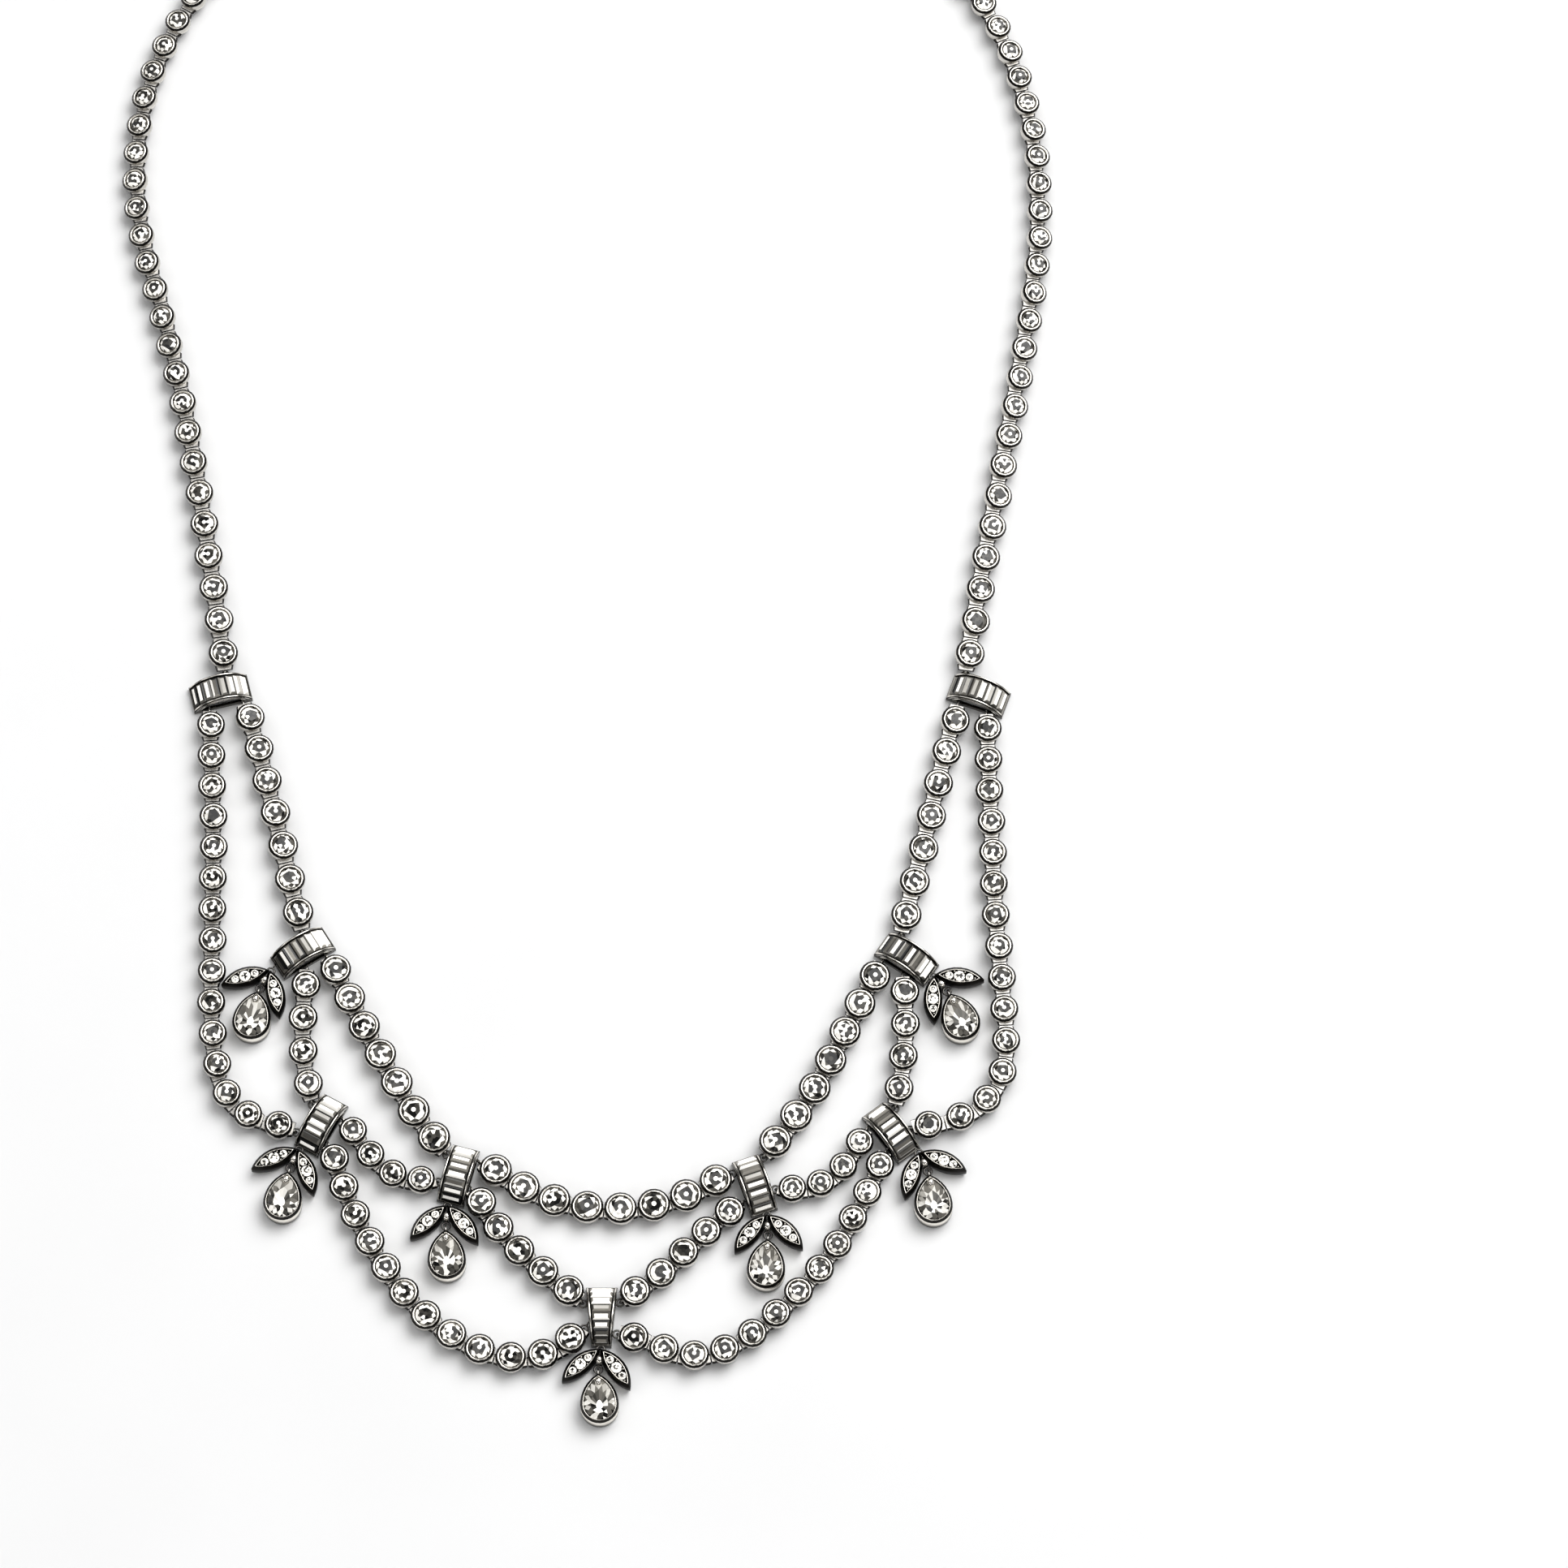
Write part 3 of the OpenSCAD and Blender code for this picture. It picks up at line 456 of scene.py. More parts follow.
def cut_stone(name, deep, middle, pale):
    """Cut stone: the light and dark that each facet returns is painted into its colour by its own
    tone, over a little clear stone, with a breath of warmth that drifts from stone to stone. A
    faint painted glow stands in for the light that total reflection gathers in the bright facets."""
    r, where = material(name)
    tone = r.node("ShaderNodeAttribute", {"attribute_name": "tone"}, {}, 2)
    tone = tone + DRIFT_TONE * (r.noise(where, *DRIFT) - 0.5)
    return r.surface({
        "Base Color": r.ramp(
            tone, (DARK_TONE, deep), (MIDDLE_TONE, middle), (BRIGHT_TONE, pale)),
        "Emission Color": r.ramp(tone, (GLOW_FROM, (0.0, 0.0, 0.0)), (GLOW_FULL, pale)),
        "Emission Strength": GLOW,
        "Transmission Weight": STONE_CLEAR,
        "IOR": STONE_IOR,
        "Specular IOR Level": STONE_MIRROR,
        "Roughness": 0.0,
    })


# Metals: name, pale, deep and painted-shade colour, least and greatest roughness
WHITE_METAL = polished_metal(
    "white_metal", (0.90, 0.865, 0.80), (0.74, 0.71, 0.65), (0.12, 0.115, 0.105), 0.06, 0.14)
# Near-black metal on bevels, grooves, walls, posts and beds: painted shade and dark outlines
# between the parts
SHADE_DARK_METAL = polished_metal(
    "shade_dark_metal", (0.026, 0.024, 0.022), (0.015, 0.014, 0.013), (0.01, 0.01, 0.009), 0.25, 0.40)
BED_METAL = polished_metal(
    "bed_metal", (0.80, 0.775, 0.73), (0.65, 0.63, 0.59), (0.55, 0.53, 0.50), 0.10, 0.20)
SHADED_METAL = polished_metal(
    "shaded_metal", (0.66, 0.64, 0.60), (0.50, 0.48, 0.45), (0.08, 0.077, 0.07), 0.15, 0.30)
# Stone: name, painted colours of the dark, middle and bright facets, which stand in for the light
# they return
DIAMOND = cut_stone("diamond", (0.01, 0.01, 0.01), (0.345, 0.325, 0.285), (1.0, 0.975, 0.92))
FINISHES = [WHITE_METAL, SHADE_DARK_METAL, DIAMOND, BED_METAL, SHADED_METAL]


# Shapes: each is its points, the corners of all its faces in one row, and the faces' sizes
def flat(*groups):
    """Faces given as arrays of (faces, corners), as one row of corners and each face's size."""
    corners = np.concatenate([group.ravel() for group in groups])
    sizes = np.concatenate([np.full(len(group), group.shape[1]) for group in groups])
    return corners, sizes


def face_starts(sizes):
    """Place of each face's first corner: the sum of the sizes before it."""
    return np.cumsum(sizes) - sizes


def placed(name, data):
    """New object of the scene for a mesh, lamp or camera."""
    obj = bpy.data.objects.new(name, data)
    bpy.context.scene.collection.objects.link(obj)
    return obj


class Pile:
    """Shapes gathered for one piece, each face with its finish and smooth or flat shading."""

    def __init__(self):
        self.points, self.corners, self.sizes, self.count = [], [], [], 0
        self.finish, self.smooth, self.tone = [], [], []

    def add(self, shape, finish=METAL, at=None, smooth=True, tone=1.0):
        """Adds a shape; at is a rotation matrix and an offset, and tone is each facet's
        painted lightness, from 0 to 1."""
        points, corners, sizes = shape
        if at is not None:
            points = points @ at[0].T + at[1]
        self.points.append(points)
        self.corners.append(corners + self.count)
        self.sizes.append(sizes)
        self.finish.append(np.broadcast_to(finish, len(sizes)))
        self.smooth.append(np.full(len(sizes), smooth))
        self.tone.append(np.broadcast_to(tone, len(sizes)))
        self.count += len(points)

    def add_stone(self, shape, at, tone):
        """Adds a cut stone, with flat facets that each have a painted tone of their own."""
        self.add(shape, STONE, at, smooth=False, tone=tone)

    def piece(self, name, node):
        """Makes the mesh object, in metres and in the row frame, that stands for a CAD node."""
        points = (np.concatenate(self.points) + LAY_SHIFT) * MM
        corners, sizes = np.concatenate(self.corners), np.concatenate(self.sizes)
        mesh = bpy.data.meshes.new(name)
        mesh.vertices.add(len(points))
        mesh.vertices.foreach_set("co", points.astype(np.float32).ravel())
        mesh.loops.add(len(corners))
        mesh.loops.foreach_set("vertex_index", corners.astype(np.int32))
        mesh.polygons.add(len(sizes))
        mesh.polygons.foreach_set("loop_start", face_starts(sizes).astype(np.int32))
        for finish in FINISHES:
            mesh.materials.append(finish)
        mesh.polygons.foreach_set("material_index", np.concatenate(self.finish).astype(np.int32))
        mesh.polygons.foreach_set("use_smooth", np.concatenate(self.smooth))
        tone = mesh.attributes.new("tone", "FLOAT", "FACE")
        tone.data.foreach_set("value", np.concatenate(self.tone).astype(np.float32))
        mesh.update(calc_edges=True)
        mesh.validate()
        obj = placed(name, mesh)
        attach(obj, "root")
        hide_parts(node)


def cos_sin(angle):
    """Cosine and sine of an angle in degrees."""
    return math.cos(math.radians(angle)), math.sin(math.radians(angle))


def turn_z(angle):
    """Matrix of a rotation about Z by an angle in degrees."""
    c, s = cos_sin(angle)
    return np.array([[c, -s, 0], [s, c, 0], [0, 0, 1.0]])


def turn_x(angle):
    """Matrix of a rotation about X by an angle in degrees."""
    c, s = cos_sin(angle)
    return np.array([[1.0, 0, 0], [0, c, -s], [0, s, c]])


def turn_y(angle):
    """Matrix of a rotation about Y by an angle in degrees."""
    c, s = cos_sin(angle)
    return np.array([[c, 0, s], [0, 1.0, 0], [-s, 0, c]])


def lift(point, z=0.0):
    """Point of the plan at a height."""
    return np.array([point[0], point[1], z], float)


def place_in(origin, turn, point, z=0.0):
    """Place of a point of a turned frame, at a height, with the frame's origin in the plan."""
    return lift(origin) + turn @ lift(point, z)


def level(loop, z):
    """Points of a loop of the plan, all at one height."""
    return np.column_stack([loop, np.full(len(loop), z)])


def unit(v):
    """Direction of a vector of the plan, with length 1."""
    return np.array(v, float) / np.hypot(*v)


def heading(v):
    """Angle of a vector of the plan from +X, in degrees."""
    return math.degrees(math.atan2(v[1], v[0]))


def down(angle):
    """Direction down the chest, turned to the right by an angle in degrees."""
    c, s = cos_sin(angle)
    return np.array([s, -c])


def circle(steps):
    """Angles of points evenly round a circle, in radians."""
    return np.linspace(0, 2 * np.pi, steps, endpoint=False)


def arc_radius(chord, bulge):
    """Radius of the arc on a chord that rises to a bulge: half the chord squared and the bulge
    squared, over twice the bulge."""
    return (chord * chord / 4 + bulge * bulge) / (2 * bulge)


def grid_faces(rows, columns, wrap_rows=False):
    """Quads of a grid whose columns close on themselves, counter-clockwise from outside when
    the rows climb and the columns turn counter-clockwise."""
    r = np.arange(rows if wrap_rows else rows - 1)[:, None]
    c = np.arange(columns)[None, :]
    up, on = (r + 1) % rows, (c + 1) % columns
    a, b = r * columns + c, r * columns + on
    d, e = up * columns + c, up * columns + on
    return np.stack([a, b, e, d], -1).reshape(-1, 4)


def stacked(rings, low_centre, high_centre):
    """Closed shell of stacked rings (rows, columns, 3), each end closed by a fan to a centre."""
    rows, columns, _ = rings.shape
    points = np.concatenate([rings.reshape(-1, 3), [low_centre, high_centre]])
    low, high, c = rows * columns, rows * columns + 1, np.arange(columns)
    on = (c + 1) % columns
    top = (rows - 1) * columns
    fans = np.concatenate([
        np.stack([on, c, np.full(columns, low)], -1),
        np.stack([top + c, top + on, np.full(columns, high)], -1)])
    return points, *flat(grid_faces(rows, columns), fans)


def revolved(profile, sides):
    """Turns a profile of (radius, height) about Z: point = radius x (cos, sin) of the angle at
    its height. The first and last radius are 0 and become the poles."""
    profile = np.array(profile, float)
    a = circle(sides)
    inner = profile[1:-1]
    rings = np.stack([
        inner[:, :1] * np.cos(a), inner[:, :1] * np.sin(a),
        np.repeat(inner[:, 1:], sides, 1)], -1)
    return stacked(rings, (0, 0, profile[0, 1]), (0, 0, profile[-1, 1]))


def outward(shape):
    """Turns a closed shell's faces round if its volume comes out negative: the volume is the
    sum of a x b . o over all edges from a to b of each face, with o the face's first corner."""
    points, corners, sizes = shape
    first = np.repeat(face_starts(sizes), sizes)
    size = np.repeat(sizes, sizes)
    place = np.arange(len(corners)) - first
    following = first + (place + 1) % size
    edges = np.cross(points[corners], points[corners[following]])
    volume = np.sum(points[corners[first]] * edges)
    if volume > 0:
        return shape
    return points, corners[first + size - 1 - place], sizes


def shell(rings):
    """Closed shell of stacked rings, each end closed to its middle, with its faces outwards."""
    return outward(stacked(rings, rings[0].mean(0), rings[-1].mean(0)))


def ring():
    """Torus: point = (eye's radius - wire's radius x cos of v) x (cos, sin) of u, at the wire's
    radius x sin of v."""
    u = circle(RING_SIDES)[None, :]
    v = circle(WIRE_SIDES)[:, None]
    reach = EYE_R - EYE_WIRE / 2 * np.cos(v)
    points = np.stack([
        reach * np.cos(u), reach * np.sin(u),
        EYE_WIRE / 2 * np.sin(v) * np.ones_like(u)], -1)
    return points.reshape(-1, 3), *flat(grid_faces(WIRE_SIDES, RING_SIDES, True)[:, ::-1])


def rod(a, b, width):
    """Round rod: at each end a ring of half the width x (cos, sin) of the angle, square to the
    way from a to b, closed at both ends."""
    way = (b - a) / np.linalg.norm(b - a)
    side = np.array([-way[1], way[0], 0.0])
    up = np.cross(way, side)
    t = circle(WIRE_SIDES)[:, None]
    wire = width / 2 * (np.cos(t) * side + np.sin(t) * up)
    return stacked(np.stack([a + wire, b + wire]), a, b)


def cut(outline, centre, girdle_z, table_z, culet_z, table):
    """Brilliant cut on a closed outline of 2n points, each drawn to a share of the way from the
    centre. The even points make the table, round a smaller heart. Between table and girdle
    stand the odd points of the crown, at the rise x (1 - share x cos of 90/n degrees) over
    (1 - the table's share), a little under the kites' planes; below stand the odd points of the
    waist, and the culet under the centre. Kites are split along their length, all other facets
    are flat. Returns the shape and the kind of each face."""
    m = len(outline)
    n = m // 2
    out = outline - centre
    k = np.arange(n)
    drawn = math.cos(math.pi / m)

    def at(share, which, z):
        """Every second outline point, drawn to a share of the way from the centre."""
        return level(centre + out[which::2] * share, z)

    up, below = table_z - girdle_z, girdle_z - culet_z
    crown_z = girdle_z + up * (1 - CROWN * drawn) / (1 - table)
    waist_z = girdle_z - below * (1 - WAIST * drawn)
    points = np.concatenate([
        at(HEART, 0, table_z), at(table, 0, table_z), at(CROWN, 1, crown_z),
        level(outline, girdle_z + GIRDLE_THIN), level(outline, girdle_z - GIRDLE_THIN),
        at(WAIST, 1, waist_z), [[*centre, culet_z]]])
    heart, rim, crown, waist = k, n + k, 2 * n + k, 3 * n + 2 * m + k
    upper, lower = 3 * n, 3 * n + m
    culet = np.full(n, 4 * n + 2 * m)
    after = (k + 1) % n
    even, odd, next_even = 2 * k, 2 * k + 1, (2 * k + 2) % m
    tris = [
        ("star", (rim, crown, rim[after])),
        ("kite", (rim, upper + even, crown)), ("kite_end", (crown, upper + next_even, rim[after])),
        ("upper", (upper + even, upper + odd, crown)),
        ("upper", (upper + odd, upper + next_even, crown)),
        ("lower", (lower + even, waist, lower + odd)),
        ("lower", (lower + odd, waist, lower + next_even)),
        ("main", (lower + even, culet, waist)), ("main", (waist, culet, lower + next_even)),
    ]
    g = np.arange(m)
    on = (g + 1) % m
    faces = flat(
        heart[None], np.stack([heart, rim, rim[after], heart[after]], -1),
        np.concatenate([np.stack(corners, -1) for _, corners in tris]),
        np.stack([lower + g, lower + on, upper + on, upper + g], -1))
    kinds = ["heart"] + ["table"] * n + [kind for kind, _ in tris for _ in k] + ["girdle"] * m
    return (points, *faces), np.array(kinds)


def sparkle(kinds, tones):
    """Painted light and shade of each facet, drawn at random by kind; the two halves of a kite
    share theirs.
    """
    low, high, odd = np.array([tones.get(kind, tones["kite"]) for kind in kinds]).T
    tone = SPARKLE.uniform(low, high)
    turned = SPARKLE.random(len(tone)) < odd
    tone[turned] = 1 - tone[turned]
    tone[kinds == "kite_end"] = np.roll(tone[kinds == "kite"], -1)
    return tone


def round_outline(radius, points, turn):
    """Points evenly round a circle, the first turned by an angle in degrees."""
    a = np.radians(turn) + circle(points)
    return radius * np.column_stack([np.cos(a), np.sin(a)])


# Strands
def curve(path, t):
    """Bezier curve: points at a share t of the lines between its handles, then between those
    points, until one is left, for all shares at once."""
    p = np.repeat(np.array(path, float)[:, None, :], len(t), 1)
    while len(p) > 1:
        p = p[:-1] * (1 - t)[:, None] + p[1:] * t[:, None]
    return p[0]


def strand_joints(path, count, first, last):
    """Joints along the curve, at shares of its length that grow as the links do: k/n x
    (2 x first + (last - first) x k/n) / (first + last) for joint k of n."""
    t = np.linspace(0, 1, CURVE_STEPS + 1)
    line = curve(path, t)
    run = np.concatenate([[0], np.cumsum(np.hypot(*np.diff(line, axis=0).T))])
    k = np.arange(count + 1)
    share = k / count * (2 * first + (last - first) * k / count) / (first + last)
    return curve(path, np.interp(share * run[-1], run, t))


def eye(pile, joint, way, upright):
    """Ring whose wire's near side is at a joint, lying flat or upright along a way."""
    turn = turn_z(heading(way)) @ turn_x(90 if upright else 0)
    pile.add(ring(), SHADE, (turn, lift(joint + way * EYE_R / 2, EYE_Z)))


def held_eye(pile, joint, way, upright, root):
    """Eye at a joint on a straight neck that runs to its root."""
    eye(pile, joint, way, upright)
    pile.add(rod(lift(joint + way * NECK_START * EYE_R, EYE_Z), lift(root, EYE_Z), NECK_D))


def drum(radius):
    """Collet turned about Z: a cone from its foot, an upright wall, a bevelled rim with a flat
    top, a groove inside it and a seat under the stone."""
    wall = [(radius - inset, z) for inset, z in DRUM]
    return revolved([(0, 0), *wall, (SEAT_R, SEAT_Z), (0, SEAT_Z)], DRUM_SIDES)


def collet(pile, radius, at, turn):
    """Drum and its round stone, inside the groove."""
    pile.add(drum(radius), np.repeat(DRUM_BANDS, DRUM_SIDES), at)
    outline = round_outline(radius - RIM_BEVEL - RIM_TOP - GROOVE, STONE_POINTS, turn)
    stone, kinds = cut(outline, np.zeros(2), COLLET_H - GIRDLE_BELOW_RIM,
                       COLLET_H + TABLE_RISE, CULET_Z, TABLE_SHARE)
    pile.add_stone(stone, at, sparkle(kinds, ROUND_TONES))


def shoulder(pile, middle, joint, tangent, radius):
    """Level plate over an eye, from inside a collet's wall to a line square to the strand at
    the joint, a little short of its neighbour's: four corners at a low and at a high level,
    which is narrower by the bevel."""
    way = unit(joint - middle)
    root = middle + way * (radius - SHOULDER_ROOT)
    end = joint - unit(tangent) * SHOULDER_CLEAR
    across = np.array([-way[1], way[0]])
    over = np.array([-tangent[1], tangent[0]])
    half = SHOULDER_SHARE * radius - np.array([[0], [SHOULDER_BEVEL]])
    heights = np.array([SHOULDER_LOW, SHOULDER_HIGH])
    corners = [root - across * half, end - over * half * SHOULDER_TAPER,
               end + over * half * SHOULDER_TAPER, root + across * half]
    rings = np.stack([np.column_stack([corner, heights]) for corner in corners], 1)
    pile.add(shell(rings), np.repeat(SHOULDER_BANDS, len(corners)), smooth=False)


def swell(middles, sizes):
    """How much wider the rims are shown: half of what the narrowest gap along the strand has
    over the clear space, and no more than the full swell."""
    gaps = np.hypot(*np.diff(middles, axis=0).T) - (sizes[1:] + sizes[:-1]) / 2
    return min(RIM_SWELL, (gaps.min() - RIM_CLEAR) / 2)


def strand(record):
    """Links of one strand: each is a collet between two joints of the strand's curve, with an
    eye and a shoulder at both. Its lean changes evenly along the strand, plus a small wave, and
    it is raised so that its leaning foot still touches the surface: by the eyes' height x cos
    of the lean plus the foot's radius x sin of it."""
    name, _, _, path, count, first, last, lean_first, lean_last = record
    joints = strand_joints(path, count, first, last)
    path = np.array(path, float)
    tangents = [unit(path[1] - path[0])]
    tangents += [unit(joints[k + 1] - joints[k - 1]) for k in range(1, count)]
    tangents += [unit(path[-1] - path[-2])]
    share = (np.arange(count) + 0.5) / count
    middles = (joints[:-1] + joints[1:]) / 2
    sizes = first + (last - first) * share
    radii = sizes / 2 + swell(middles, sizes)
    leans = lean_first + (lean_last - lean_first) * share
    pile = Pile()
    for k in range(count):
        start, end, middle = joints[k], joints[k + 1], middles[k]
        held_eye(pile, start, tangents[k], False, middle)
        held_eye(pile, end, -tangents[k + 1], True, middle)
        shoulder(pile, middle, start, -tangents[k], radii[k])
        shoulder(pile, middle, end, tangents[k + 1], radii[k])
        lean = leans[k] + LEAN_WOBBLE * math.sin(math.radians(WOBBLE_TURN * (k + 1)))
        foot = sizes[k] / 2 - CUP_DRAW
        tilt = math.radians(lean)
        rise = EYE_Z * math.cos(tilt) + foot * abs(math.sin(tilt))
        turn = turn_z(heading(end - start)) @ turn_x(-lean)
        offset = lift(middle, rise) + turn @ np.array([0, 0, -EYE_Z])
        collet(pile, radii[k], (turn, offset), STONE_TURN * (k + 1))
    pile.piece("links_" + name, name)


# Bars
def half_width(record, x):
    """Half a bar's width at x, which changes evenly from one end to the other."""
    return (record[3] + (record[4] - record[3]) * (np.asarray(x) / BAR_L + 0.5)) / 2


def entry(record, point, way):
    """Length from a point along a way to a bar's outline: how far the point lies outside a
    side, over the share of the way that runs across that side, and the longer of both."""
    back = turn_z(-record[2])[:2, :2]
    q, v = back @ (point - np.array(record[1])), back @ way
    half = np.array([BAR_L / 2, half_width(record, np.clip(q[0], -BAR_L / 2, BAR_L / 2))])
    short = np.abs(q) - half
    return max([0.0] + [s / abs(w) for s, w in zip(short, v) if s > 0])


def along_arch(record, side, section, half_angle, steps):
    """Carries a section of (inset, radius) along the arch: point = radius x (sin, cos) of the
    angle, at the bar's half width there less the inset, on its side. Both ends are closed."""
    section = np.array(section, float)
    a = np.radians(np.linspace(-half_angle, half_angle, steps))[:, None]
    x = section[:, 1] * np.sin(a)
    z = ARCH_Z + section[:, 1] * np.cos(a)
    y = side * (half_width(record, x) - section[:, 0])
    return shell(np.stack([x, y, z], -1))


def gallery_post(record, side, angle):
    """Square post under a rail, on a ray of the arch: at its foot and head, four corners at the
    width over root 2 x (cos, sin) of 45 degrees and its odd multiples."""
    c, s = cos_sin(angle)
    way, across = np.array([s, 0, c]), np.array([0, 1.0, 0])
    middle = np.array([0, side * (half_width(record, POST_HIGH_R * s) - POST_INSET), ARCH_Z])
    foot, head = middle + POST_LOW_R * way, middle + POST_HIGH_R * way
    t = np.radians([45, 135, 225, 315])[:, None]
    square = POST_W / math.sqrt(2) * (np.cos(t) * across + np.sin(t) * np.cross(way, across))
    return shell(np.stack([foot + square, head + square]))


def bar_frame(record):
    """Flat frame: a section of (side inset, end inset, height) carried round the outline's
    four corners."""
    x = CORNERS[:, 0] * (BAR_L / 2 - FRAME[:, 1:2])
    y = CORNERS[:, 1] * (half_width(record, x) - FRAME[:, :1])
    z = np.repeat(FRAME[:, 2:], len(CORNERS), 1)
    faces = flat(grid_faces(len(FRAME), len(CORNERS), True))
    return np.stack([x, y, z], -1).reshape(-1, 3), *faces


def bar_eye(pile, record, joint, away, upright):
    """Eye at a joint beside a bar, on a neck that runs to the middle of the rail's width."""
    root = joint - away * (entry(record, joint, -away) + RAIL_W / 2)
    held_eye(pile, joint, -away, upright, root)


def bar(record):
    """Setting of a bar: rails, galleries and their posts, the bed under the stones, the flat
    frame, and an eye for each strand and drop that hangs on it."""
    name, centre, angle = record[:3]
    at = (turn_z(angle), lift(centre))
    rail_finish = np.concatenate([
        np.tile(RAIL_FINISH, RAIL_RINGS - 1), np.full(2 * len(RAIL), METAL)])
    pile = Pile()
    for side in (-1, 1):
        pile.add(along_arch(record, side, RAIL, RAIL_ANGLE, RAIL_RINGS), rail_finish, at)
        pile.add(along_arch(record, side, GALLERY, GALLERY_ANGLE, INNER_RINGS), at=at)
        for post in POSTS:
            # Near-black posts and bed: painted shade under and between the stones
            pile.add(gallery_post(record, side, post), SHADE_DARK, at)
    pile.add(along_arch(record, BED_SIDES, BED_SECTION, BED_ANGLE, INNER_RINGS), SHADE_DARK, at)
    pile.add(bar_frame(record), at=at, smooth=False)
    for _, start, end, path, *_ in STRANDS:
        path = np.array(path, float)
        if start == name:
            bar_eye(pile, record, path[0], unit(path[1] - path[0]), True)
        if end == name:
            bar_eye(pile, record, path[-1], unit(path[-2] - path[-1]), False)
    for carrier, apex, pair_angle, _ in DROPS:
        if carrier == name:
            bar_eye(pile, record, np.array(apex), down(pair_angle), False)
    pile.piece("setting_bar_" + name, "bar_" + name)


def baguette(width, half, slope):
    """Step cut on a tapered oblong: at each step its four corners, drawn in by the step's
    inset, closed by the table and below."""
    x = CORNERS[:, 0] * (width / 2 - BAGUETTE[:, 1:])
    y = CORNERS[:, 1] * (half + slope * x - BAGUETTE[:, 1:])
    z = np.repeat(BAGUETTE[:, :1], len(CORNERS), 1)
    under = np.arange(len(CORNERS))[::-1]
    table = (len(BAGUETTE) - 1) * len(CORNERS) + np.arange(len(CORNERS))
    faces = flat(grid_faces(len(BAGUETTE), len(CORNERS)), np.stack([under, table]))
    return np.stack([x, y, z], -1).reshape(-1, 3), *faces


def baguette_row(record):
    """Stones of a bar, side by side on the arch. All steps of a stone share four drawn painted
    tones, one for each side, and a stone that leans towards the flash is painted lighter on every
    face, one that leans away darker."""
    name, centre, angle, near, far = record
    girdle_r = ARCH_R - GIRDLE_DEPTH
    step = 2 * ROW_HALF / BAGUETTES
    width = girdle_r * math.radians(step) - STONE_SPACE
    slope = (far - near) / BAR_L / 2
    base = turn_z(angle)
    pile = Pile()
    for i in range(BAGUETTES):
        a = step * (i + 0.5) - ROW_HALF
        c, s = cos_sin(a)
        half = half_width(record, girdle_r * s) - RAIL_W - ROW_GAP
        own = base @ turn_y(a)
        place = place_in(centre, base, (girdle_r * s, 0), ARCH_Z + girdle_r * c)
        sides = np.tile(SPARKLE.uniform(EDGE_LOW, EDGE_HIGH), len(BAGUETTE) - 1)
        table = SPARKLE.choice(TABLE_CHOICES)
        # Painted light and shade by how the stone's table faces the flash's way
        flash = own[:2, 2] @ unit(FLASH_WAY)
        shine = FLASH * max(flash - FLASH_FROM, 0) - AWAY_SHADE * max(-flash - FLASH_FROM, 0)
        tone = np.append(np.append(sides, UNDER_TONE) + EDGE_FLASH * shine, table + shine)
        pile.add_stone(baguette(width, half, slope * c), (own, place), np.clip(tone, 0, 1))
    pile.piece("stones_" + name, "baguettes_" + name)


# Drops
def leaf_ring(side, inset, z):
    """Pointed oval at a height, from tip to tip and back, between two circles: both lose the
    inset, and the tips lie where the two meet."""
    up, low = (LEAF_OUT, LEAF_IN) if side > 0 else (LEAF_IN, LEAF_OUT)
    up_r, low_r = arc_radius(LEAF_L, up), arc_radius(LEAF_L, low)
    up_y, low_y = up - up_r, low_r - low
    up_r, low_r = up_r - inset, low_r - inset
    tip_y = (up_r ** 2 - low_r ** 2 - up_y ** 2 + low_y ** 2) / (2 * (low_y - up_y))
    reach = math.sqrt(up_r ** 2 - (tip_y - up_y) ** 2)
    x = reach * np.sin(np.linspace(-np.pi / 2, np.pi / 2, LEAF_STEPS + 1))[:-1]
    near = np.column_stack([x, low_y - np.sqrt(low_r ** 2 - x * x)])
    far = np.column_stack([-x, up_y + np.sqrt(up_r ** 2 - x * x)])
    return level(np.concatenate([near, far]) + (LEAF_L / 2, 0), z)


def leaf(side):
    """Leaf: stacked rings, whose underside rises near the apex, over the bar's eye: its height
    is at least the bed's x (clear - x) / fall, from 0 to the bed's."""
    rings = np.stack([leaf_ring(side, inset, z) for inset, z in LEAF_LEVELS])
    clear = LEAF_BED * np.clip((APEX_CLEAR - rings[..., 0]) / APEX_FALL, 0, 1)
    rings[..., 2] = np.maximum(rings[..., 2], np.where(rings[..., 2] < LEAF_BED, clear, 0))
    return stacked(rings, (LEAF_L / 2, 0, 0), (LEAF_L / 2, 0, LEAF_BED))


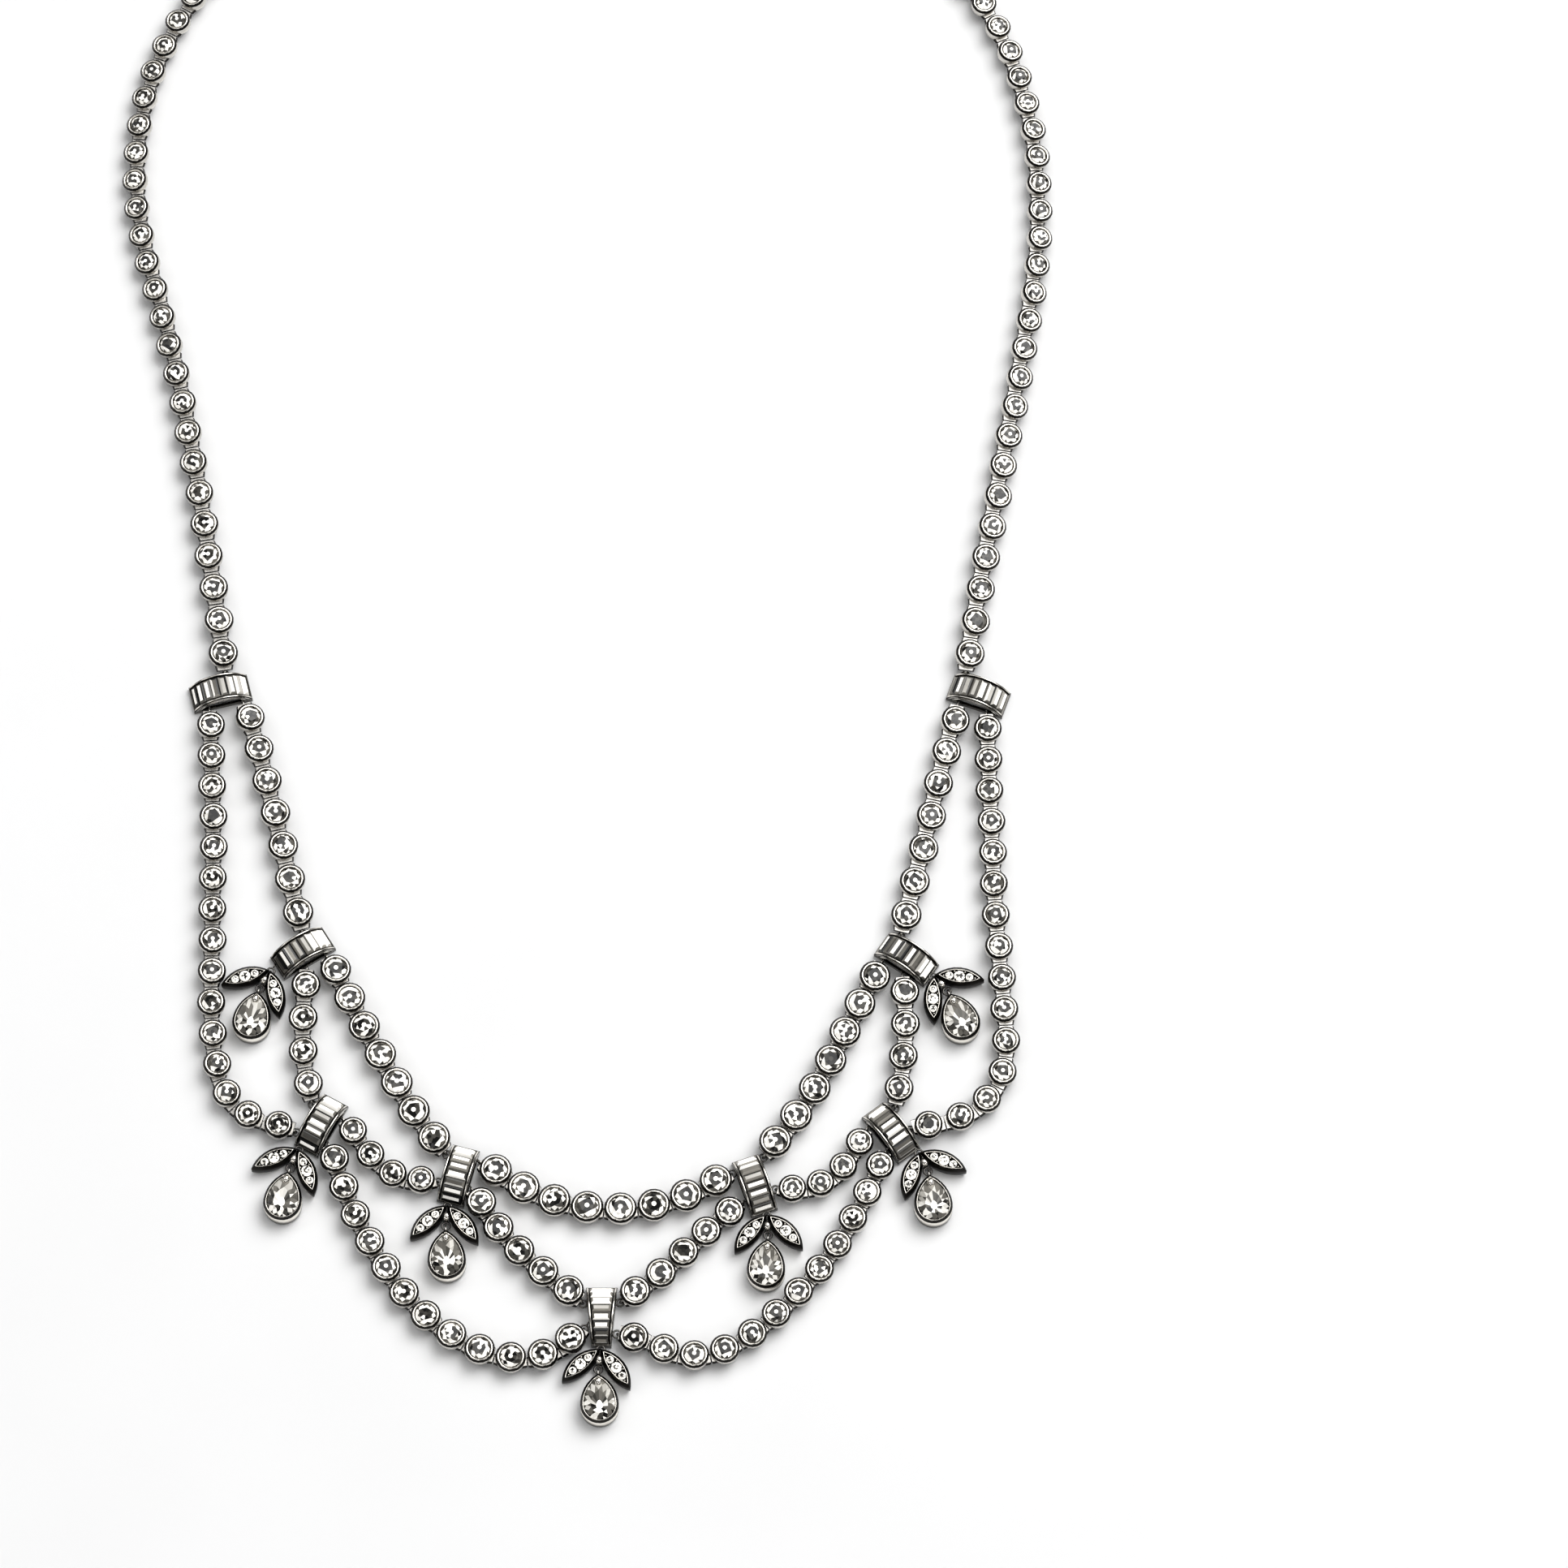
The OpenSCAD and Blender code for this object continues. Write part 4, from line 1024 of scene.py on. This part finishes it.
def leaf_pair(record):
    """Two leaves on one hub, with their stones and beads, and an eye at the apex and at the
    fork."""
    name, apex, pair_angle, _ = record
    apex, way = np.array(apex), down(pair_angle)
    base = turn_z(heading(way))
    bead = revolved(BEAD, BEAD_SIDES)
    pile = Pile()
    for side in (-1, 1):
        turn = base @ turn_z(side * LEAF_SPREAD)
        pile.add(leaf(side), np.repeat(LEAF_BANDS, 2 * LEAF_STEPS), (turn, lift(apex)))
        for reach, out, radius in LEAF_STONES:
            outline = round_outline(radius, STONE_POINTS, STONE_TURN * reach)
            stone, kinds = cut(outline, np.zeros(2), LEAF_GIRDLE, LEAF_TABLE, LEAF_CULET,
                               LEAF_TABLE_SHARE)
            place = place_in(apex, turn, (reach, side * out))
            pile.add_stone(stone, (turn, place), sparkle(kinds, LEAF_TONES))
        for reach, out in LEAF_BEADS:
            pile.add(bead, at=(turn, place_in(apex, turn, (reach, side * out), BEAD_Z)))
    pile.add(revolved(HUB, HUB_SIDES), at=(base, place_in(apex, base, (HUB_AT, 0))))
    eye(pile, apex, way, True)
    eye(pile, apex + FORK_L * way, -way, False)
    pile.piece("leaves_" + name, "leaf_pair_" + name)


def pear_frame(record):
    """Joint in the fork that a pear hangs on, the rotation of its length to +X, and the middle
    of its round end."""
    _, apex, pair_angle, pear_angle = record
    joint = np.array(apex) + FORK_L * down(pair_angle)
    base = turn_z(heading(down(pear_angle)))
    return joint, base, place_in(joint, base, (PEAR_GAP + PEAR_TIP, 0))


def pear_loop(inset, side_steps):
    """Pear outline drawn in by an inset, from the tip: a side, the round end, and back. A side
    is an arc, y = root of (radius squared - x squared) - how far its centre lies beyond the
    axis, and the end is its radius x (sin, -cos) of the angle."""
    arc_r = arc_radius(2 * PEAR_TIP, PEAR_R)
    r, low = arc_r - inset, arc_r - PEAR_R
    tip = math.sqrt(r * r - low * low)
    x = -tip * (1 - np.arange(side_steps) / side_steps)
    y = np.sqrt(r * r - x * x) - low
    a = np.linspace(0, np.pi, PEAR_END_STEPS + 1)
    end = (PEAR_R - inset) * np.column_stack([np.sin(a), -np.cos(a)])
    return np.concatenate([np.column_stack([x, -y]), end, np.column_stack([x, y])[:0:-1]])


def pear_setting(record):
    """Pear-shaped cup of stacked outlines, with a claw over its tip and an eye in the fork."""
    joint, base, middle = pear_frame(record)
    rings = np.stack([level(pear_loop(inset, SETTING_STEPS), z) for inset, z in PEAR_LEVELS])
    cup = stacked(rings, (0, 0, 0), (0, 0, PEAR_BED))
    pile = Pile()
    pile.add(cup, np.repeat(PEAR_BANDS, rings.shape[1]), (base, middle))
    points, *faces = revolved(CLAW, CLAW_SIDES)
    claw_place = place_in(joint, base, (PEAR_GAP + CLAW_AT, 0), CLAW_Z)
    pile.add((points * CLAW_STRETCH, *faces), at=(base, claw_place))
    eye(pile, joint, down(record[3]), True)
    pile.piece("setting_pear_" + record[0], "pear_setting_" + record[0])


def pear_stone(record):
    """Pear-cut stone. Towards its tip each painted tone draws near a middle one, by a share of its
    start - x / length at the mean x of the facet, from 0 to 1."""
    _, base, middle = pear_frame(record)
    outline = pear_loop(PEAR_INSET, PEAR_STONE_STEPS)
    stone, kinds = cut(outline, PEAR_CENTRE, PEAR_GIRDLE, PEAR_TABLE, PEAR_CULET,
                       PEAR_TABLE_SHARE)
    points, corners, sizes = stone
    tone = sparkle(kinds, PEAR_TONES)
    x = np.add.reduceat(points[corners, 0], face_starts(sizes)) / sizes
    tip = np.clip(TIP_START - x / TIP_LENGTH, 0, 1)
    tone += tip * (TIP_TONE + TIP_SPREAD * (tone - TIP_TONE) - tone)
    pile = Pile()
    pile.add_stone(stone, (base, middle), tone)
    pile.piece("stone_pear_" + record[0], "pear_stone_" + record[0])


# Clasp
def clasp():
    """Box clasp: its section carried along it, drawn to each station's share of the way from
    the middle of its height, and an eye at each end."""
    middle = np.array([0, CLASP_H / 2])
    drawn = middle + (CLASP_SECTION - middle) * CLASP_STATIONS[:, None, 1:]
    x = np.repeat(CLASP_STATIONS[:, :1], len(CLASP_SECTION), 1)
    box = shell(np.concatenate([x[..., None], drawn], -1))
    pile = Pile()
    pile.add(box, METAL, (np.eye(3), lift(CLASP_AT)), smooth=False)
    for _, start, _, path, *_ in STRANDS:
        if start == "clasp":
            way = unit(path[0] - path[1])
            held_eye(pile, path[0], way, True, path[0] + way * (CLASP_REACH + CLASP_ROOT))
    pile.piece("box_clasp", "clasp")


for strand_record in STRANDS:
    strand(strand_record)
for bar_record in BARS:
    bar(bar_record)
    baguette_row(bar_record)
for drop_record in DROPS:
    leaf_pair(drop_record)
    pear_setting(drop_record)
    pear_stone(drop_record)
clasp()


# Floor, light and camera
def pale_floor():
    """Wide white sheet with a faint mottle."""
    r, where = material("pale_floor")
    mottle = r.ramp(r.noise(where, *MOTTLE), (DEEP_AT, FLOOR_DEEP), (PALE_AT, FLOOR_PALE))
    finish = r.surface({
        "Base Color": mottle, "Roughness": FLOOR_ROUGH, "Specular IOR Level": FLOOR_MIRROR})
    mesh = bpy.data.meshes.new("floor")
    mesh.from_pydata(level(CORNERS * FLOOR_HALF, 0.0).tolist(), [], [(0, 1, 2, 3)])
    mesh.materials.append(finish)
    placed("floor", mesh)


def lobe(r, where, direction, near, far):
    """1 within an angle of a direction and 0 past a wider one, both in degrees: a smooth step
    on the cosine of the angle."""
    d = np.array(direction, float)
    d /= np.linalg.norm(d)
    dot = r.node("ShaderNodeVectorMath", {"operation": "DOT_PRODUCT"}, {0: where, 1: tuple(d)}, 1)
    return r.step(dot, cos_sin(far)[0], cos_sin(near)[0])


def studio():
    """Dark studio with soft windows at several sides, so that polished faces turn from light to
    dark as they turn. One window is a frame round the way in which flat tables mirror the lens,
    so that the tables stay dark."""
    world = bpy.data.worlds.new("studio")
    bpy.context.scene.world = world
    r = Recipe(world)
    where = r.node("ShaderNodeTexCoord", {}, {}, 0)
    light = STUDIO_DARK
    for direction, near, far, strength in WINDOWS:
        light = light + strength * lobe(r, where, direction, near, far)
    light = light * (1 - lobe(r, where, MIRRORED, HOOD_NEAR, HOOD_FAR))
    back = r.node("ShaderNodeBackground", {}, {"Color": (1.0, 1.0, 1.0, 1.0), "Strength": light})
    r.node("ShaderNodeOutputWorld", {}, {"Surface": back})


def key_lamp():
    """Round soft lamp, turned to the middle of the necklace."""
    data = bpy.data.lights.new("key", "AREA")
    data.shape, data.size, data.energy = "DISK", KEY_SIZE, KEY_POWER
    obj = placed("key", data)
    obj.location = KEY_PLACE
    obj.rotation_mode = "QUATERNION"
    obj.rotation_quaternion = (-Vector(KEY_PLACE)).to_track_quat("-Z", "Y")


def camera():
    """Long lens on the line that the photograph was read with."""
    data = bpy.data.cameras.new("camera")
    data.sensor_width = SENSOR_WIDTH
    data.lens = SENSOR_WIDTH * VIEW_DISTANCE / FRAME_WIDTH
    data.clip_start, data.clip_end = NEAREST, FARTHEST
    obj = placed("camera", data)
    c, s = cos_sin(VIEW_ELEVATION)
    obj.location = TARGET + VIEW_DISTANCE * np.array([0, -c, s])
    obj.rotation_euler = (math.radians(90 - VIEW_ELEVATION), 0, 0)
    bpy.context.scene.camera = obj


pale_floor()
studio()
key_lamp()
camera()
bpy.context.scene.view_settings.view_transform = "Standard"
